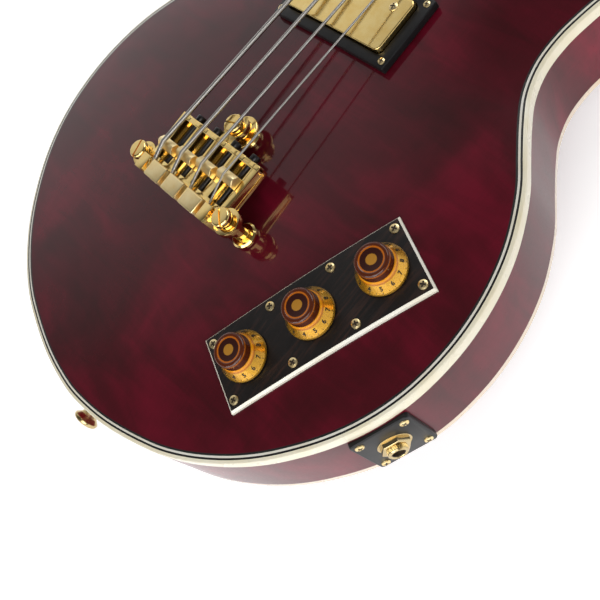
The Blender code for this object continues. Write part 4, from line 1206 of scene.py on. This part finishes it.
headSize = {
    "half": ((21, 0), (21.5, 7), (27, 20), (37, 34), (42, 52), (43, 90), (44.5, 130), (45.5, 160), (42, 182),
             (29, 193), (10, 197)),
    "edge": ((1.2, -14.0), (0.35, -13.65), (0.0, -12.8), (0.0, -1.2), (0.35, -0.35), (1.2, 0.03)), "parts": 6,
    "cut": ((-60, 24, -17), (60, 215, 4)), "stringHigh": 8.0, "postRadius": 4.4, "windGap": 0.1,
    "windHigh": 3.5, "windPitch": 2.05, "coverScrews": (6.5, 31.0), "coverLift": 2.1,
    "posts": {"e": (-1, 23, 48), "a": (-1, 24, 122), "d": (1, 24, 122), "g": (1, 23, 48)},
    "housingScrews": ((-8.5, -10.0), (8.5, 10.0)), "coverScrew": (1.7, 0.9, 0.6),
    "housingScrew": (1.9, 0.9, 0.65),
}


def makeHead():
    size = headSize
    half = [Vector((x, y, 0)) * mm for x, y in size["half"]]
    line = half + [Vector((-p.x, p.y, 0)) for p in reversed(half)]
    parts = size["parts"]
    dense = smoothed([line[0]] + line + [line[-1]], parts)[parts:-2 * parts] + [line[-1]]
    bm = bmesh.new()
    rows = [[bm.verts.new(headMatrix @ Vector((p.x, p.y, height * mm))) for p in inset(dense, distance)]
            for distance, height in size["edge"]]
    skinInto(bm, rows)
    newPiece("headSmooth", bm, wine, 40.0)
    tool = boxTool("headTool", *size["cut"], headMatrix)
    softened("neckSoft", "neck", wineSide, 0.8, smooth=45.0, angle=60.0, cuts=(tool,))
    upward = headMatrix.to_3x3() @ up
    screws = [(headMatrix @ (Vector((0, y, size["coverLift"])) * mm), upward) for y in size["coverScrews"]]
    screwSet("trussCoverScrews", screws, size["coverScrew"])
    screws = []
    back = headMatrix.inverted()
    for name, (side, x, y) in size["posts"].items():
        place = headMatrix @ Matrix.Translation((side * x * mm, y * mm, size["stringHigh"] * mm))
        if side > 0:
            place = place @ Matrix.Rotation(math.pi, 4, "Z") @ Matrix.Rotation(math.pi, 4, "X")
        wire = stringSize["radius"][name]
        ring = size["postRadius"] + wire + size["windGap"]
        wind = {"Radius": ring, "Height": size["windHigh"], "Wire": wire}
        turns = size["windHigh"] / (size["windPitch"] * wire)
        helixPiece(f"stringWind{name.upper()}", stringWinds, place, turns, wind, brightSteel)
        low = min((back @ v.co).z for v in frame["nodes"][f"tuner_housing_{name}"].data.vertices)
        for dx, dy in size["housingScrews"]:
            screws.append((headMatrix @ Vector(((side * x + dx) * mm, (y + dy) * mm, low)), -upward))
    screwSet("tunerHousingScrews", screws, size["housingScrew"])


def makeInlays():
    size = neckSize
    scale = fretSize["Scale"]
    bm = bmesh.new()
    for fret in size["inlays"]:
        before, after = (2 ** (-number / 12) for number in (fret - 1, fret))
        middle = -scale * (1 - (after + before) / 2)
        half = min(size["inlayLong"], scale * (before - after) * size["inlayShare"])
        inlay = roundedBox(size["inlayHalf"], half, size["inlayCorner"], 3)
        prismInto(bm, inlay, *size["inlayHigh"], neckMatrix @ Matrix.Translation((0, middle * mm, 0)))
    newPiece("boardInlays", bm, pearl)


def makeNeck():
    makeHead()
    softened("fingerboardSoft", "fingerboard", boardWood, 0.4, 2, angle=50.0)
    softened("nutSoft", "nut", boneWhite, 0.25, 2)
    softened("trussCoverSoft", "truss_cover", blackPlastic, 0.4)
    sizes = {label: size * mm for label, size in fretSize.items()}
    frets = grow("frets", fretRow, bpy.data.meshes.new("spots"), sizes, brightSteel, 40.0)
    frets.data.transform(neckMatrix @ Matrix.Translation((0, 0, -neckSize["fretSunk"] * mm)))
    makeInlays()
    for name in stringNames:
        key, post = (joints[f"tuner_{name}_{end}_turn"]["child"] for end in ("key", "post"))
        softened(f"tunerHousing{name.upper()}", f"tuner_housing_{name}", gold, 0.9)
        softened(f"tunerKey{name.upper()}", f"tuner_key_{name}", gold, 0.5, 3, 35.0, 35.0,
                 body=key)
        softened(f"tunerPost{name.upper()}", f"tuner_post_{name}", gold, 0.2, 2, 35.0, 35.0,
                 body=post)


pickupSize = {
    "y": {"bridge": 77.2, "neck": 149.2}, "poles": (-28.5, -9.5, 9.5, 28.5), "poleY": 8,
    "pole": (2.6, 1.2, 0.8), "ringX": 41.8, "ringY": 17.5, "ringLift": 5.2, "ringScrew": (1.9, 1.0, 0.7),
}


def makePickups():
    size = pickupSize
    for name, y in size["y"].items():
        end = name.capitalize()
        softened("pickupCover" + end, f"pickup_{name}", gold, 0.8, 3, 35.0, 25.0)
        softened("pickupRing" + end, f"pickup_ring_{name}", blackPlastic, 0.5, 3, 35.0, 50.0)
        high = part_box(f"pickup_{name}")[1].z
        poles = [(Vector((x * mm, (y + size["poleY"]) * mm, high)), up) for x in size["poles"]]
        screwSet("pickupPoles" + end, poles, size["pole"])
        corners = []
        for x in (-size["ringX"], size["ringX"]):
            for dy in (-size["ringY"], size["ringY"]):
                spot, normal = surfaceAt(x * mm, (y + dy) * mm)
                corners.append((spot + up * size["ringLift"] * mm, normal))
        screwSet("pickupRingScrews" + end, corners, size["ringScrew"])


def paintHidden():
    # the steel parts that keep their CAD shape
    for node in ("truss_rod", "pot_1", "pot_2", "pot_3", "shaft_1", "shaft_2", "shaft_3"):
        slots = frame["nodes"][node].data.materials
        slots.clear()
        slots.append(brightSteel)


makeNeck()
makePickups()
paintHidden()
print("neck, tuners and pickups made")


# studio: pale floor, soft lights, camera

studio = {
    "dim": 0.10, "glow": 0.66, "glowFrom": (-0.86, 0.25, 0.44), "glowEdges": (0.72, 0.99), "horizon": 0.75,
    "floorZ": cadBox[0].z - 0.002, "floorTint": (0.86, 0.86, 0.86), "floorGlow": 0.5,
    "lightAim": (0.08, -0.05, 0.05), "lights": (
        ((1.5, -0.9, 1.6), (1.8, 1.8), 30.0), ((-0.4, 1.9, 1.9), (2.2, 1.2), 24.0),
        ((0.9, -2.0, 0.9), (2.0, 1.0), 20.0),
    ),
}


def makeWorld():
    # dim overhead, brighter towards one side, so polished tops show a soft gradient
    world = bpy.data.worlds.new("studioWorld")
    bpy.context.scene.world = world
    world.use_nodes = True
    net = Net(world.node_tree)
    net.tree.nodes.clear()
    way = net.node("ShaderNodeTexCoord", out="Generated")
    facing = net.node("ShaderNodeVectorMath", {"operation": "DOT_PRODUCT"},
                      {0: way, 1: studio["glowFrom"]}, "Value")
    low, high = studio["glowEdges"]
    glow = net.node("ShaderNodeMapRange", {"interpolation_type": "SMOOTHSTEP"},
                    {0: facing, 1: low, 2: high, 3: studio["dim"], 4: studio["glow"]})
    height = net.node("ShaderNodeSeparateXYZ", None, {"Vector": way}, "Z")
    rise = net.node("ShaderNodeMapRange", {"interpolation_type": "SMOOTHSTEP"},
                    {0: height, 1: 0.0, 2: 0.35, 3: studio["horizon"], 4: 0.0})
    light = net.node("ShaderNodeBackground", None, {"Color": (1, 1, 1, 1), "Strength": glow + rise})
    net.node("ShaderNodeOutputWorld", None, {"Surface": light})


def makeStudio():
    bm = bmesh.new()
    bmesh.ops.create_grid(bm, x_segments=1, y_segments=1, size=60.0)
    mesh = plainMesh("floor", bm)
    floor = inScene("floor", mesh)
    floor.location.z = studio["floorZ"]
    white = Finish("paleFloor")
    glow = {"Emission Color": (1, 1, 1, 1), "Emission Strength": studio["floorGlow"]}
    mesh.materials.append(white.done(studio["floorTint"], 0.9, glow))
    makeWorld()
    for place, size, power in studio["lights"]:
        lamp = bpy.data.lights.new("softbox", "AREA")
        lamp.shape = "RECTANGLE"
        lamp.size, lamp.size_y = size
        lamp.energy = power
        holder = inScene("softbox", lamp)
        holder.location = place
        aim = Vector(studio["lightAim"]) - Vector(place)
        holder.rotation_euler = aim.to_track_quat("-Z", "Y").to_euler()
    bpy.context.scene.view_settings.view_transform = "Standard"


cameraPlace = {
    "at": (360.4, -40.2, 396.8), "right": (0.5969, 0.6279, -0.4994), "up": (-0.5083, 0.7776, 0.3701),
    "back": (0.6207, 0.0329, 0.7833), "lens": 56.44,
}


def makeCamera():
    data = bpy.data.cameras.new("camera")
    data.sensor_width = 36
    data.lens = cameraPlace["lens"]
    data.clip_start = 0.01
    camera = inScene("camera", data)
    axes = [Vector(cameraPlace[key]).normalized() for key in ("right", "up", "back")]
    place = Matrix.Translation(Vector(cameraPlace["at"]) * mm)
    camera.matrix_world = place @ Matrix(axes).transposed().to_4x4()
    bpy.context.scene.camera = camera


makeStudio()
makeCamera()
print("studio made")
